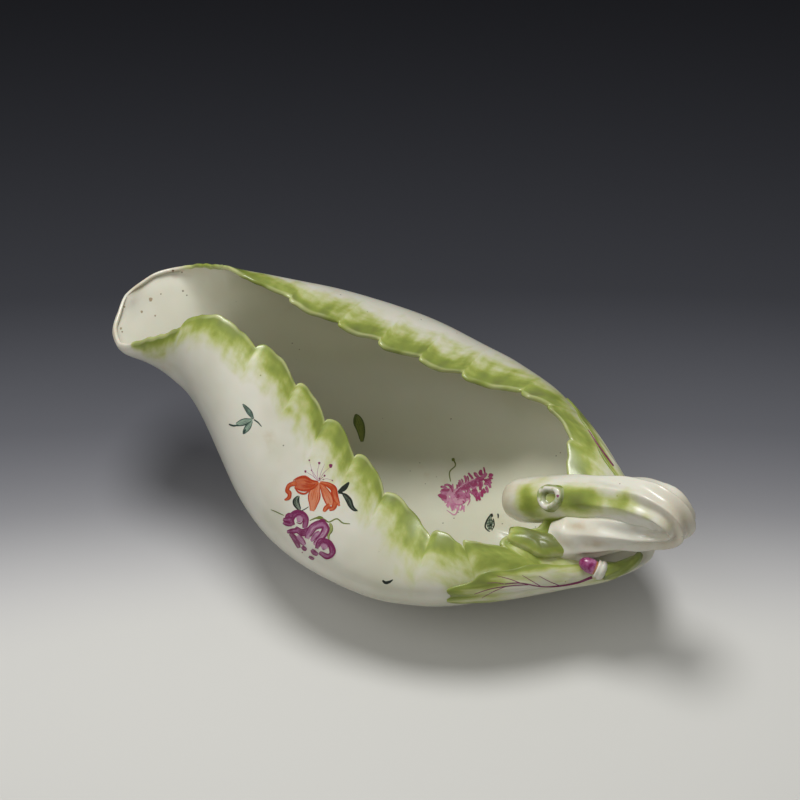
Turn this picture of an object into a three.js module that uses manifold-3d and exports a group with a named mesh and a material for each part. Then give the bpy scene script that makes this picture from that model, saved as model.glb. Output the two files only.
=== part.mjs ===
// Leaf-moulded porcelain sauceboat: a boat-shaped bowl with an incurved, lobed rim and a wide
// pouring lip, on a low oval foot, with a fluted stalk handle and applied leaves, twig stump and
// flower bud. Millimetres, +Z up, lip towards -X, handle towards +X, origin below the middle.
import * as THREE from 'three';
import { mergeVertices } from 'three/addons/utils/BufferGeometryUtils.js';
import Module from 'manifold-3d';

const wasm = await Module();
wasm.setup();

// Lines plan of the outer surface, one row for each station from the lip tip to the stern.
// Each row: rim x, rim half width, rim height, belly x, belly half width, belly height,
// keel x, keel height, extra width of the far rim; x is measured back from the lip tip.
const STATIONS = [
  [0, 0, 57, 0, 0, 57, 0, 57, 0],
  [1.5, 9.4, 56.5, 1.2, 9.8, 55.8, 1.5, 54.2, 0.4],
  [4, 14.6, 56.5, 4, 15.2, 55.4, 4, 52, 0.2],
  [9, 18.8, 57.5, 9, 19.2, 56, 9, 49, -0.4],
  [17, 17.6, 62.5, 17, 18.8, 57.5, 17, 43.8, 0.9],
  [24, 15.6, 67, 24, 18.4, 57, 24, 38.2, 1.7],
  [31, 12.8, 72, 31, 19.6, 56, 31, 32.4, 2.2],
  [40, 10.2, 75, 40, 24.4, 52.5, 40, 24.2, 2.3],
  [50, 11, 73, 50, 31.6, 47, 50, 16, 1.9],
  [62, 12.6, 68.5, 62, 39.6, 41, 62, 8.8, 1.6],
  [75, 16.6, 61.5, 75, 46.2, 36, 75, 4.4, 1.6],
  [90, 21.6, 53.5, 90, 50.4, 32, 90, 2.8, 1.6],
  [105, 27, 46, 105, 51, 29.5, 105, 2.5, 1.6],
  [118, 31.6, 41.2, 118, 49.8, 28.5, 115, 3, 1.5],
  [130, 33, 40.2, 134, 44.6, 28, 122, 4.5, 1.4],
  [140, 29.6, 39.4, 151, 33.8, 27.8, 127, 6, 1.2],
  [147.4, 22.4, 37, 166.4, 22, 27.6, 130, 7, 1],
  [151.6, 12, 35.2, 180, 11.6, 27.5, 131.5, 7.5, 0.6],
  [153, 0, 34.4, 186, 0, 27.5, 132, 7.5, 0],
];
const LAST = STATIONS.length - 1;
// Columns that change sign across the middle plane: the two half widths.
const MIRRORED_COLUMNS = [1, 4];

// Whole length from lip tip to the outside of the handle; it only sets the origin.
const OVERALL_LENGTH = 200;

const MIDDLE_X = OVERALL_LENGTH / 2;

// Wall of the bowl, thinner at the pouring lip, and the rounded top of the rim.
const LIP_WALL = 2.2;
const BODY_WALL = 2.8;
const RIM_CROWN = 0.8;

// Share of each rib line (rim 0, keel 1) at which it crosses the belly.
const BELLY = 0.4;
// Stations where the stern starts to fan out, and how far the rim arcs over it.
const FAN_START = 13;
const FAN_STATIONS = 4;
const FAN_ARC = THREE.MathUtils.degToRad(72);
const KEEL_FULLNESS = 0.9;
const STERN_HOLLOW = 0.6;
// Least turn of the wall between belly and rim, as the cosine of its arc, at the tip and behind it.
const TIP_ARC_COSINE = 0.97;
const WALL_ARC_COSINE = 0.985;
// An arc of the wall is a little longer than its chord.
const ARC_OVER_CHORD = 1.05;
const LEAST_HALF = 0.001;

// Leaf lobes along the rim: the notches between them, by station, and how far each stands out.
const NOTCHES = [5.6, 8.35, 9.6, 10.45, 11.25, 12.1, 13.55, 14.6, 15.9, 17.1];
const LOBE_HEIGHT = 2.4;
const LOBE_LEAN = 0.85;
const LOBE_FULLNESS = 0.75;
// How quickly a lobe fades into the wall below the rim.
const LOBE_FADE = 3;

// Lip tip, where all rib lines meet: outward direction of the underside and of the edge.
const TIP_STATIONS = 1.5;
const TIP_NORMAL = new THREE.Vector3(-0.62, 0, -0.78);
const TIP_EDGE = new THREE.Vector3(-0.78, 0, 0.62);

// Slip joint left open between luted pieces.
const SLIP_GAP = 0.2;

// Where the shell is sampled: stations along the lip, parts of each lobe, shares of a rib line.
const LIP_STEP = 0.5;
const LOBE_PARTS = [0, 0.18, 0.5, 0.82];
const RIB_SHARES = [0, 0.1, 0.2, 0.3, 0.4, 0.5, 0.61, 0.73, 0.86, 1];
// Steps and limits for directions taken from the surface.
const STATION_STEP = 0.02;
const SHARE_STEP = 0.01;
const EDGE_SHARE = 0.05;
const LAST_NORMAL_SHARE = 0.97;
const END_STATION_MARGIN = 0.05;
const WELD = 1e-4;

// Oval foot ring.
const FOOT_CENTRE_X = 100;
const FOOT_HALF_LENGTH = 28;
const FOOT_HALF_WIDTH = 17;
const FOOT_WALL = 5;
const FOOT_BLANK_HEIGHT = 14;
const FOOT_POINTS = 28;

// Handle stalk: x, y, height, radius upwards, radius sideways, depth of the flutes. Its lower end
// comes back under the bend and is luted to the near side of the stern.
const STALK = [
  [136, 0, 27.6, 0, 0, 0],
  [136.9, 0, 28.1, 4.4, 4.4, 0],
  [139.4, 0, 29.6, 6.7, 6.2, 0],
  [143.5, 0, 32, 7.3, 7, 0],
  [154, 0, 38.6, 7.3, 7.4, 0],
  [166, 0, 45.4, 7.1, 7.3, 0.2],
  [178, 0, 51.2, 6.9, 7.3, 0.5],
  [186, -0.3, 53.8, 6.4, 7.2, 0.7],
  [191.8, -0.8, 53.4, 5.6, 6.8, 0.8],
  [194.4, -1.4, 49.2, 4.8, 6, 0.9],
  [191, -2.8, 44.8, 4.4, 5.6, 0.9],
  [184.5, -4.8, 41.6, 4.3, 5.4, 0.9],
  [176.5, -7, 39.2, 4.3, 5.3, 0.8],
  [169, -8.8, 35.6, 4.3, 5.2, 0.6],
  [163.5, -9.8, 31.8, 3.8, 4.8, 0.3],
  [159, -10.6, 28.6, 2.6, 4.2, 0],
];
const FLUTES = 8;
const FLUTE_TWIST = THREE.MathUtils.degToRad(120);
const STALK_SEGMENTS = 32;
const STALK_STEPS = 2;
const STALK_DIRECTION_STEP = 0.05;

// Pruned twig stump on the stalk: seat on the centre line and its turn from the top to the near side.
const STUMP_STATION = 4.15;
const STUMP_TURN = THREE.MathUtils.degToRad(42);
const STUMP_RADIUS = 4.3;
const STUMP_RISE = 1.6;
const STUMP_BEVEL = 0.7;
const STUMP_HOLLOW_RADIUS = 2.3;
const STUMP_HOLLOW_FLOOR = 1.4;
const STUMP_HOLLOW_FALL = 0.2;
const STUMP_HOLLOW_DEPTH = 1.2;
const STUMP_ROOT = 3;
const STUMP_SEGMENTS = 20;

// Applied leaves lying on the outer surface: middle by station and rib share, half extents,
// millimetres in one station and in a whole rib line there, edge lobes, thickness.
const RIM_LEAF = {
  station: 16.5, share: 0.04, stationReach: 0.44, shareReach: 0.082,
  stationSize: 10, shareSize: 100,
  lobes: 5, lobeDepth: 0.12, thickness: 3.6, edge: 1.4,
};
const STERN_LEAF = {
  station: 15.55, share: 0.36, stationReach: 1.4, shareReach: 0.2,
  stationSize: 10, shareSize: 100,
  lobes: 9, lobeDepth: 0.05, thickness: 0.8, edge: 0.5,
};
const LEAF_RINGS = 4;
const LEAF_POINTS = 36;
// How late the top of a leaf falls to its edge.
const LEAF_FALL = 3;

// Flower bud on its own stalk along the near side of the stern: station, rib share, stand-off
// of the middle line from the surface, radius.
const BUD_STALK = [
  [17.75, 0.29, 1.3, 1.0],
  [17.45, 0.305, 2.4, 1.7],
  [17.05, 0.305, 3.2, 2.3],
  [16.75, 0.285, 3.4, 2.7],
];
const BUD_STALK_STEPS = 8;
const BUD_SEGMENTS = 16;
const CALYX_LENGTH = 2.4;
const CALYX_RADIUS = 3.2;
const CALYX_SEAT = 0.8;
// Middle and mouth of the calyx: share of its radius, share of its height.
const CALYX_MIDDLE = [1, 0.6];
const CALYX_MOUTH = [0.9, 1];
const BUD_LENGTH = 6.4;
const BUD_RADIUS = 2.4;
// Outline of the bud: share of its radius, share of its length.
const BUD_OUTLINE = [[0, 0], [0.75, 0], [1, 0.3], [0.95, 0.6], [0.6, 0.9], [0, 1]];
const BUD_DIRECTION = new THREE.Vector3(-0.82, -0.18, 0.3).normalize();

const PORCELAIN = 0xdcdbd0;
const LEAF_GREEN = 0x93a548;
const PUCE = 0xa2416f;
const GLAZE_ROUGHNESS = 0.25;

function mirroredRow(row) {
  return row.map((value, column) => (MIRRORED_COLUMNS.includes(column) ? -value : value));
}

// Smooth value of every column of a table between its rows; `before` and `after` end it.
function between(rows, before, after, position) {
  const index = Math.min(Math.max(Math.floor(position), 0), rows.length - 2);
  const t = position - index;
  const row = (k) => (k < 0 ? before : k >= rows.length ? after : rows[k]);
  const [p0, p1, p2, p3] = [row(index - 1), row(index), row(index + 1), row(index + 2)];
  return p1.map((_, c) => {
    const startSlope = (p2[c] - p0[c]) / 2;
    const endSlope = (p3[c] - p1[c]) / 2;
    return (2 * t ** 3 - 3 * t ** 2 + 1) * p1[c] + (t ** 3 - 2 * t ** 2 + t) * startSlope
      + (-2 * t ** 3 + 3 * t ** 2) * p2[c] + (t ** 3 - t ** 2) * endSlope;
  });
}

const BEFORE_TIP = mirroredRow(STATIONS[1]);
const AFTER_STERN = mirroredRow(STATIONS[LAST - 1]);

// How far the rim lobe at this station stands out of the notch line.
function lobeAt(station) {
  const next = NOTCHES.findIndex((notch) => notch > station);
  if (next <= 0) return 0;
  const share = (station - NOTCHES[next - 1]) / (NOTCHES[next] - NOTCHES[next - 1]);
  return LOBE_HEIGHT * Math.max(Math.sin(Math.PI * share ** LOBE_LEAN), 0) ** LOBE_FULLNESS;
}

// Cosine of the turn of the wall between belly and rim.
function arcCosine(station, rimHalf, bellyHalf) {
  if (station < 1) return TIP_ARC_COSINE;
  return Math.min(rimHalf / Math.max(bellyHalf, LEAST_HALF), WALL_ARC_COSINE);
}

// Point of the outer surface; `share` runs along a rib line from the rim (0) to the keel (1),
// `side` is -1 on the near half and 1 on the far half, `rise` lengthens the rim edge.
function surfacePoint(station, share, side, rise = 0) {
  if (station < 0) return surfacePoint(-station, share, -side, rise);
  if (station > LAST) return surfacePoint(2 * LAST - station, share, -side, rise);
  if (share > 1) return surfacePoint(station, 2 - share, -side, rise);
  const [rimX, plannedHalf, rimZ, bellyX, bellyHalf, bellyZ, keelX, keelZ, farSpread] =
    between(STATIONS, BEFORE_TIP, AFTER_STERN, station);
  const rimHalf = plannedHalf + (side > 0 ? farSpread : 0);
  const fan = Math.min(Math.max((station - FAN_START) / FAN_STATIONS, 0), 1);
  let x;
  let y;
  let z;
  if (share < BELLY) {
    const turn = Math.acos(arcCosine(station, rimHalf, bellyHalf));
    const fullArc = THREE.MathUtils.lerp(turn, FAN_ARC, fan);
    const chord = Math.hypot(bellyHalf - rimHalf, bellyX - rimX, rimZ - bellyZ);
    const growth = (lobeAt(station) + rise) / Math.max(chord * ARC_OVER_CHORD, 1);
    const above = 1 - share / BELLY;
    const arc = fullArc * (above + growth * above ** LOBE_FADE);
    const inward = (1 - Math.cos(arc)) / (1 - Math.cos(fullArc));
    x = bellyX + (rimX - bellyX) * inward;
    y = bellyHalf + (rimHalf - bellyHalf) * inward;
    z = bellyZ + (rimZ - bellyZ) * Math.sin(arc) / Math.sin(fullArc);
  } else {
    const arc = (share - BELLY) / (1 - BELLY) * Math.PI / 2;
    x = keelX + (bellyX - keelX) * Math.cos(arc);
    y = bellyHalf * Math.max(Math.cos(arc), 0) ** KEEL_FULLNESS;
    z = bellyZ - (bellyZ - keelZ) * Math.sin(arc) ** (1 + STERN_HOLLOW * fan);
  }
  return new THREE.Vector3(x - MIDDLE_X, side * y, z);
}

function onMiddlePlane(station, share) {
  return share >= 1 || station <= 0 || station >= LAST;
}

// Outward direction of the surface; the near half gives it on the middle plane.
function surfaceNormal(station, share, ownSide) {
  const side = onMiddlePlane(station, share) ? -1 : ownSide;
  const a = Math.min(share, LAST_NORMAL_SHARE);
  const s = Math.min(Math.max(station, END_STATION_MARGIN), LAST - END_STATION_MARGIN);
  const alongS = surfacePoint(s + STATION_STEP, a, side)
    .sub(surfacePoint(s - STATION_STEP, a, side));
  const alongA = surfacePoint(s, a + SHARE_STEP, side)
    .sub(surfacePoint(s, Math.max(a - SHARE_STEP, 0), side));
  const normal = alongS.cross(alongA).multiplyScalar(side).normalize();
  if (onMiddlePlane(station, share)) normal.y = 0;
  const tip = 1 - Math.min(station / TIP_STATIONS, 1);
  return normal.lerp(TIP_NORMAL, tip).normalize();
}

function offsetPoint(station, share, side, offset, rise = 0) {
  return surfacePoint(station, share, side, rise)
    .addScaledVector(surfaceNormal(station, share, side), offset);
}

// Direction in which the wall runs out at the rim.
function edgeDirection(station, ownSide) {
  const side = onMiddlePlane(station, 0) ? -1 : ownSide;
  const run = surfacePoint(station, 0, side)
    .sub(surfacePoint(station, EDGE_SHARE, side));
  if (run.length() > 0) run.normalize();
  const tip = 1 - Math.min(station / TIP_STATIONS, 1);
  return run.lerp(TIP_EDGE, tip).normalize();
}

function wallAt(station) {
  return THREE.MathUtils.lerp(LIP_WALL, BODY_WALL, Math.min(station / FAN_START, 1));
}

// Collects quads and triangles of points and makes one closed, outward-facing geometry.
class Faces {
  constructor() {
    this.positions = [];
  }

  triangle(a, b, c) {
    this.positions.push(...a.toArray(), ...b.toArray(), ...c.toArray());
  }

  quad(a, b, c, d) {
    this.triangle(a, b, c);
    this.triangle(a, c, d);
  }

  // Quads between rows of points of equal length.
  sheet(rows, closed = false) {
    const width = rows[0].length;
    for (let i = 0; i + 1 < rows.length; i += 1) {
      for (let j = 0; j + 1 < width + (closed ? 1 : 0); j += 1) {
        const k = (j + 1) % width;
        this.quad(rows[i][j], rows[i][k], rows[i + 1][k], rows[i + 1][j]);
      }
    }
  }

  geometry() {
    const raw = new THREE.BufferGeometry();
    raw.setAttribute('position', new THREE.Float32BufferAttribute(this.positions, 3));
    const merged = mergeVertices(raw, WELD);
    const old = merged.index.array;
    const index = [];
    for (let i = 0; i < old.length; i += 3) {
      const [a, b, c] = [old[i], old[i + 1], old[i + 2]];
      if (a !== b && b !== c && c !== a) index.push(a, b, c);
    }
    merged.setIndex(index);
    return facingOut(merged);
  }
}

function facingOut(geometry) {
  const position = geometry.attributes.position;
  const index = Array.from(geometry.index.array);
  const corner = (k) => new THREE.Vector3().fromBufferAttribute(position, index[k]);
  let volume = 0;
  for (let i = 0; i < index.length; i += 3) {
    volume += corner(i).dot(corner(i + 1).cross(corner(i + 2)));
  }
  if (volume < 0) {
    for (let i = 0; i < index.length; i += 3) {
      [index[i + 1], index[i + 2]] = [index[i + 2], index[i + 1]];
    }
    geometry.setIndex(index);
  }
  return geometry;
}

function toSolid(geometry) {
  return new wasm.Manifold(new wasm.Mesh({
    numProp: 3,
    vertProperties: new Float32Array(geometry.attributes.position.array),
    triVerts: new Uint32Array(geometry.index.array),
  }));
}

function toGeometry(solid) {
  const mesh = solid.getMesh();
  const geometry = new THREE.BufferGeometry();
  const points = [];
  for (let i = 0; i < mesh.numVert; i += 1) {
    for (let k = 0; k < 3; k += 1) points.push(mesh.vertProperties[i * mesh.numProp + k]);
  }
  geometry.setAttribute('position', new THREE.Float32BufferAttribute(points, 3));
  geometry.setIndex(Array.from(mesh.triVerts));
  return geometry;
}

// Positions along the rim: even steps at the lip, then four for each lobe.
function stationSamples() {
  const samples = [];
  for (let s = 0; s < NOTCHES[0]; s += LIP_STEP) samples.push(s);
  const ends = [...NOTCHES, LAST];
  for (let k = 0; k + 1 < ends.length; k += 1) {
    for (const share of LOBE_PARTS) {
      samples.push(ends[k] + (ends[k + 1] - ends[k]) * share);
    }
  }
  return [...samples, LAST];
}

function ribRows(side, offsetOf, rise) {
  return stationSamples().map((station) =>
    RIB_SHARES.map((share) => offsetPoint(station, share, side, offsetOf(station), rise)));
}

// The main body of a cut piece, without loose slivers.
function mainBody(solid) {
  const bodies = solid.decompose();
  return bodies.reduce((best, body) => (body.volume() > best.volume() ? body : best));
}

// The wall of the bowl, thickened on both faces and lengthened at the rim by `grow`.
function shellGeometry(grow) {
  const faces = new Faces();
  for (const side of [-1, 1]) {
    const outer = ribRows(side, () => grow, grow);
    const inner = ribRows(side, (station) => -wallAt(station) - grow, grow);
    const crown = stationSamples().map((station, i) => outer[i][0].clone()
      .lerp(inner[i][0], 0.5)
      .addScaledVector(edgeDirection(station, side), RIM_CROWN));
    const rim = stationSamples().map((_, i) => [outer[i][0], crown[i], inner[i][0]]);
    if (side < 0) {
      faces.sheet(outer);
      faces.sheet(inner.map((row) => [...row].reverse()));
      faces.sheet(rim.map((row) => [...row].reverse()));
    } else {
      faces.sheet(outer.map((row) => [...row].reverse()));
      faces.sheet(inner);
      faces.sheet(rim);
    }
  }
  return faces.geometry();
}

// The bowl filled up to a skin across its mouth.
function filledHullGeometry(grow) {
  const faces = new Faces();
  const near = ribRows(-1, () => grow, 0);
  const far = ribRows(1, () => grow, 0);
  faces.sheet(near);
  faces.sheet(far.map((row) => [...row].reverse()));
  faces.sheet(near.map((row, i) => [far[i][0], row[0]]));
  return faces.geometry();
}

function footRing(hullCut) {
  const ring = new THREE.Shape();
  ring.absellipse(0, 0, FOOT_HALF_LENGTH, FOOT_HALF_WIDTH, 0, Math.PI * 2);
  const hole = new THREE.Path();
  hole.absellipse(0, 0, FOOT_HALF_LENGTH - FOOT_WALL, FOOT_HALF_WIDTH - FOOT_WALL, 0, Math.PI * 2);
  ring.holes.push(hole);
  const blank = new THREE.ExtrudeGeometry(ring, {
    depth: FOOT_BLANK_HEIGHT, bevelEnabled: false, curveSegments: FOOT_POINTS,
  });
  blank.deleteAttribute('normal');
  blank.deleteAttribute('uv');
  blank.translate(FOOT_CENTRE_X - MIDDLE_X, 0, 0);
  return toSolid(facingOut(mergeVertices(blank, WELD))).subtract(hullCut);
}

function stalkRow(position) {
  return between(STALK, STALK[0], STALK[STALK.length - 1], position);
}

// Middle line point of the handle stalk and its direction.
function stalkFrame(position) {
  const last = STALK.length - 1;
  const [x, y, z, radiusIn, radiusSide, flute] = stalkRow(position);
  const ahead = stalkRow(Math.min(position + STALK_DIRECTION_STEP, last));
  const behind = stalkRow(Math.max(position - STALK_DIRECTION_STEP, 0));
  const along = new THREE.Vector3(...ahead.slice(0, 3))
    .sub(new THREE.Vector3(...behind.slice(0, 3))).normalize();
  const sideways = new THREE.Vector3(0, 1, 0).addScaledVector(along, -along.y).normalize();
  const outward = along.clone().cross(sideways);
  const centre = new THREE.Vector3(x - MIDDLE_X, y, z);
  return { centre, outward, sideways, radiusIn, radiusSide, flute };
}

function stalkRing(position, grow) {
  const { centre, outward, sideways, radiusIn, radiusSide, flute } = stalkFrame(position);
  const turn = FLUTE_TWIST * (position / (STALK.length - 1)) ** 2;
  const ring = [];
  for (let j = 0; j < STALK_SEGMENTS; j += 1) {
    const angle = j / STALK_SEGMENTS * Math.PI * 2;
    const ridge = flute * Math.cos(FLUTES * (angle + turn)) + grow;
    ring.push(centre.clone()
      .addScaledVector(outward, (radiusIn + ridge) * Math.cos(angle))
      .addScaledVector(sideways, (radiusSide + ridge) * Math.sin(angle)));
  }
  return ring;
}

// The whole handle stalk before it is fitted to the bowl.
function stalkGeometry(grow) {
  const faces = new Faces();
  const rings = [];
  const last = STALK.length - 1;
  for (let k = 0; k <= last * STALK_STEPS; k += 1) rings.push(stalkRing(k / STALK_STEPS, grow));
  faces.sheet(rings, true);
  const start = stalkFrame(0).centre;
  const end = stalkFrame(last).centre;
  for (let j = 0; j < STALK_SEGMENTS; j += 1) {
    const k = (j + 1) % STALK_SEGMENTS;
    faces.triangle(start, rings[0][k], rings[0][j]);
    faces.triangle(end, rings[rings.length - 1][j], rings[rings.length - 1][k]);
  }
  return faces.geometry();
}

function handleStalk(shellCut, hullCut) {
  const rearRim = surfacePoint(LAST, 0, -1);
  const size = OVERALL_LENGTH;
  const sternBlock = wasm.Manifold.cube([size, size, size])
    .translate([rearRim.x - BODY_WALL, -size / 2, -size / 2]);
  return without(toSolid(stalkGeometry(0)), shellCut, hullCut.intersect(sternBlock));
}

// Turns a lathe profile so that its axis points along `direction` from `seat`.
function latheAlong(profile, segments, seat, direction) {
  const points = profile.map(([radius, height]) => new THREE.Vector2(radius, height));
  const lathe = new THREE.LatheGeometry(points, segments);
  lathe.deleteAttribute('normal');
  lathe.deleteAttribute('uv');
  const up = new THREE.Vector3(0, 1, 0);
  lathe.applyQuaternion(new THREE.Quaternion().setFromUnitVectors(up, direction));
  lathe.translate(seat.x, seat.y, seat.z);
  const faces = new Faces();
  const flat = lathe.toNonIndexed().attributes.position;
  for (let i = 0; i < flat.count; i += 3) {
    const corners = [0, 1, 2].map((k) => new THREE.Vector3().fromBufferAttribute(flat, i + k));
    faces.triangle(...corners);
  }
  return faces.geometry();
}

function twigStump(stalkCut) {
  const frame = stalkFrame(STUMP_STATION);
  const top = frame.radiusSide + STUMP_RISE;
  const profile = [
    [0, frame.radiusSide - STUMP_ROOT],
    [STUMP_RADIUS, frame.radiusSide - STUMP_ROOT],
    [STUMP_RADIUS, top - STUMP_BEVEL],
    [STUMP_RADIUS - STUMP_BEVEL, top],
    [STUMP_HOLLOW_RADIUS, top - STUMP_HOLLOW_FALL],
    [STUMP_HOLLOW_FLOOR, top - STUMP_HOLLOW_DEPTH],
    [0, top - STUMP_HOLLOW_DEPTH],
  ];
  const direction = frame.outward.clone().multiplyScalar(Math.cos(STUMP_TURN))
    .add(new THREE.Vector3(0, -Math.sin(STUMP_TURN), 0));
  const blank = latheAlong(profile, STUMP_SEGMENTS, frame.centre, direction);
  return toSolid(blank).subtract(stalkCut);
}

// A leaf lying on the outer surface with its underside SLIP_GAP away.
function surfaceLeaf(leaf, side, grow) {
  const at = (ring, j, lift) => {
    const angle = j / LEAF_POINTS * Math.PI * 2;
    const reach = ring / LEAF_RINGS * (1 + leaf.lobeDepth * Math.cos(leaf.lobes * angle));
    const widen = ring / LEAF_RINGS * grow;
    const stationReach = leaf.stationReach * reach + widen / leaf.stationSize;
    const shareReach = leaf.shareReach * reach + widen / leaf.shareSize;
    const station = leaf.station + stationReach * Math.cos(angle);
    const share = leaf.share + shareReach * Math.sin(angle);
    return offsetPoint(station, share, side, SLIP_GAP + lift);
  };
  const topLift = (ring) => {
    const fall = (ring / LEAF_RINGS) ** LEAF_FALL;
    return THREE.MathUtils.lerp(leaf.thickness, leaf.edge, fall) + grow;
  };
  const faces = new Faces();
  const top = [];
  const bottom = [];
  for (let ring = LEAF_RINGS; ring >= 0; ring -= 1) {
    const topRow = [];
    const bottomRow = [];
    for (let j = 0; j < LEAF_POINTS; j += 1) {
      topRow.push(at(ring, j, topLift(ring)));
      bottomRow.push(at(ring, j, -grow));
    }
    top.push(topRow);
    bottom.push(bottomRow);
  }
  faces.sheet([...top.reverse(), ...bottom], true);
  return toSolid(faces.geometry());
}

// Middle line points of the bud stalk with their radii.
function budStalkStops() {
  return BUD_STALK.map(([station, share, standOff, radius]) => ({
    centre: offsetPoint(station, share, -1, standOff), radius,
  }));
}

function budStalkBlank(grow) {
  const stops = budStalkStops();
  const curve = new THREE.CatmullRomCurve3(stops.map((stop) => stop.centre));
  const faces = new Faces();
  const rings = [];
  const up = new THREE.Vector3(0, 0, 1);
  for (let k = 0; k <= BUD_STALK_STEPS; k += 1) {
    const t = k / BUD_STALK_STEPS;
    const centre = curve.getPoint(t);
    const along = curve.getTangent(t);
    const first = up.clone().addScaledVector(along, -up.dot(along)).normalize();
    const second = along.clone().cross(first);
    const place = t * (stops.length - 1);
    const index = Math.min(Math.floor(place), stops.length - 2);
    const lower = stops[index].radius;
    const upper = stops[index + 1].radius;
    const radius = THREE.MathUtils.lerp(lower, upper, place - index) + grow;
    rings.push(Array.from({ length: BUD_SEGMENTS }, (_, j) => {
      const angle = j / BUD_SEGMENTS * Math.PI * 2;
      return centre.clone()
        .addScaledVector(first, radius * Math.cos(angle))
        .addScaledVector(second, radius * Math.sin(angle));
    }));
  }
  const start = curve.getPoint(0).addScaledVector(curve.getTangent(0), -grow);
  const end = curve.getPoint(1).addScaledVector(curve.getTangent(1), grow);
  faces.sheet(rings, true);
  for (let j = 0; j < BUD_SEGMENTS; j += 1) {
    const k = (j + 1) % BUD_SEGMENTS;
    faces.triangle(start, rings[0][k], rings[0][j]);
    faces.triangle(end, rings[BUD_STALK_STEPS][j], rings[BUD_STALK_STEPS][k]);
  }
  return toSolid(faces.geometry());
}

// Calyx before it is fitted; its foot reaches CALYX_SEAT into the end of the bud stalk.
function calyxBlank(grow) {
  const stops = budStalkStops();
  const { centre, radius } = stops[stops.length - 1];
  const seat = centre.clone().addScaledVector(BUD_DIRECTION, -CALYX_SEAT);
  const height = CALYX_SEAT + CALYX_LENGTH;
  const profile = [
    [0, -grow],
    [radius + grow, -grow],
    [CALYX_RADIUS * CALYX_MIDDLE[0] + grow, height * CALYX_MIDDLE[1]],
    [CALYX_RADIUS * CALYX_MOUTH[0] + grow, height * CALYX_MOUTH[1] + grow],
    [0, height + grow],
  ];
  return toSolid(latheAlong(profile, BUD_SEGMENTS, seat, BUD_DIRECTION));
}

// Bud before it is fitted; its foot reaches CALYX_SEAT into the calyx.
function budBlank() {
  const stops = budStalkStops();
  const seat = stops[stops.length - 1].centre.clone()
    .addScaledVector(BUD_DIRECTION, CALYX_LENGTH - CALYX_SEAT);
  const profile = BUD_OUTLINE.map(([out, up]) => [BUD_RADIUS * out, BUD_LENGTH * up]);
  return toSolid(latheAlong(profile, BUD_SEGMENTS, seat, BUD_DIRECTION));
}

function without(solid, ...cutters) {
  return mainBody(cutters.reduce((left, cutter) => left.subtract(cutter), solid));
}

function addPiece(group, name, geometry, colour) {
  geometry.computeVertexNormals();
  const material = new THREE.MeshStandardMaterial({ color: colour, roughness: GLAZE_ROUGHNESS });
  const mesh = new THREE.Mesh(geometry, material);
  mesh.name = name;
  group.add(mesh);
}

function build() {
  const group = new THREE.Group();
  group.name = 'sauceboat';
  const shellCut = toSolid(shellGeometry(SLIP_GAP));
  const hullCut = toSolid(filledHullGeometry(SLIP_GAP));
  const stalkCut = toSolid(stalkGeometry(SLIP_GAP));
  const leafCut = surfaceLeaf(STERN_LEAF, -1, SLIP_GAP);
  const budStalkCut = budStalkBlank(SLIP_GAP);
  const calyxCut = calyxBlank(SLIP_GAP);
  const pieces = [
    ['foot_ring', footRing(hullCut), PORCELAIN],
    ['handle_stalk', handleStalk(shellCut, hullCut), PORCELAIN],
    ['twig_stump', twigStump(stalkCut), LEAF_GREEN],
    ['rim_leaf', without(surfaceLeaf(RIM_LEAF, -1, 0), stalkCut), LEAF_GREEN],
    ['stern_leaf_near', surfaceLeaf(STERN_LEAF, -1, 0), LEAF_GREEN],
    ['stern_leaf_far', surfaceLeaf(STERN_LEAF, 1, 0), LEAF_GREEN],
    ['bud_stalk', without(budStalkBlank(0), hullCut, stalkCut, leafCut), LEAF_GREEN],
    ['bud_calyx', without(calyxBlank(0), hullCut, leafCut, budStalkCut), PORCELAIN],
    ['flower_bud', without(budBlank(), hullCut, leafCut, calyxCut, budStalkCut), PUCE],
  ];
  addPiece(group, 'boat_shell', shellGeometry(0), PORCELAIN);
  for (const [name, solid, colour] of pieces) addPiece(group, name, toGeometry(solid), colour);
  return group;
}

export default build();
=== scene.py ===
"""A leaf-moulded porcelain sauceboat with applied leaves, a twig stump and a flower bud,
washed yellow-green along its rims and scattered with small enamel flowers.

Metres, +Z up, pouring lip towards -X, handle towards +X. Sizes in the tables are millimetres
in the same frame, with x of the lines plan and of the stalk measured back from the lip tip."""

import math

import bmesh
import bpy
import numpy as np
from mathutils import Matrix, Vector
from mathutils.bvhtree import BVHTree


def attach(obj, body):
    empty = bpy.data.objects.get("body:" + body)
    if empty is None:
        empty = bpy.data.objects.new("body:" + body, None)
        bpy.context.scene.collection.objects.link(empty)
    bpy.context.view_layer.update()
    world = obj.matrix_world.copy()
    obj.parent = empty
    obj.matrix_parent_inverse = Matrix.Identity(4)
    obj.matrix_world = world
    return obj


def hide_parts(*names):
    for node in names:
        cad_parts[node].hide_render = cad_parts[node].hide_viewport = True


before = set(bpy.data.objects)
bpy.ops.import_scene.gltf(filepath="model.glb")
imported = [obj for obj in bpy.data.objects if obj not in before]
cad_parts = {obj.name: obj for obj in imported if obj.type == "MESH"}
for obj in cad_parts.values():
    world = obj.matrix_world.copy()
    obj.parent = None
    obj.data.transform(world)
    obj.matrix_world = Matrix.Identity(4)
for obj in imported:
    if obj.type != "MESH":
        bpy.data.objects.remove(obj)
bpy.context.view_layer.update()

MM = 0.001
NEAR = -1
FAR = 1

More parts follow.
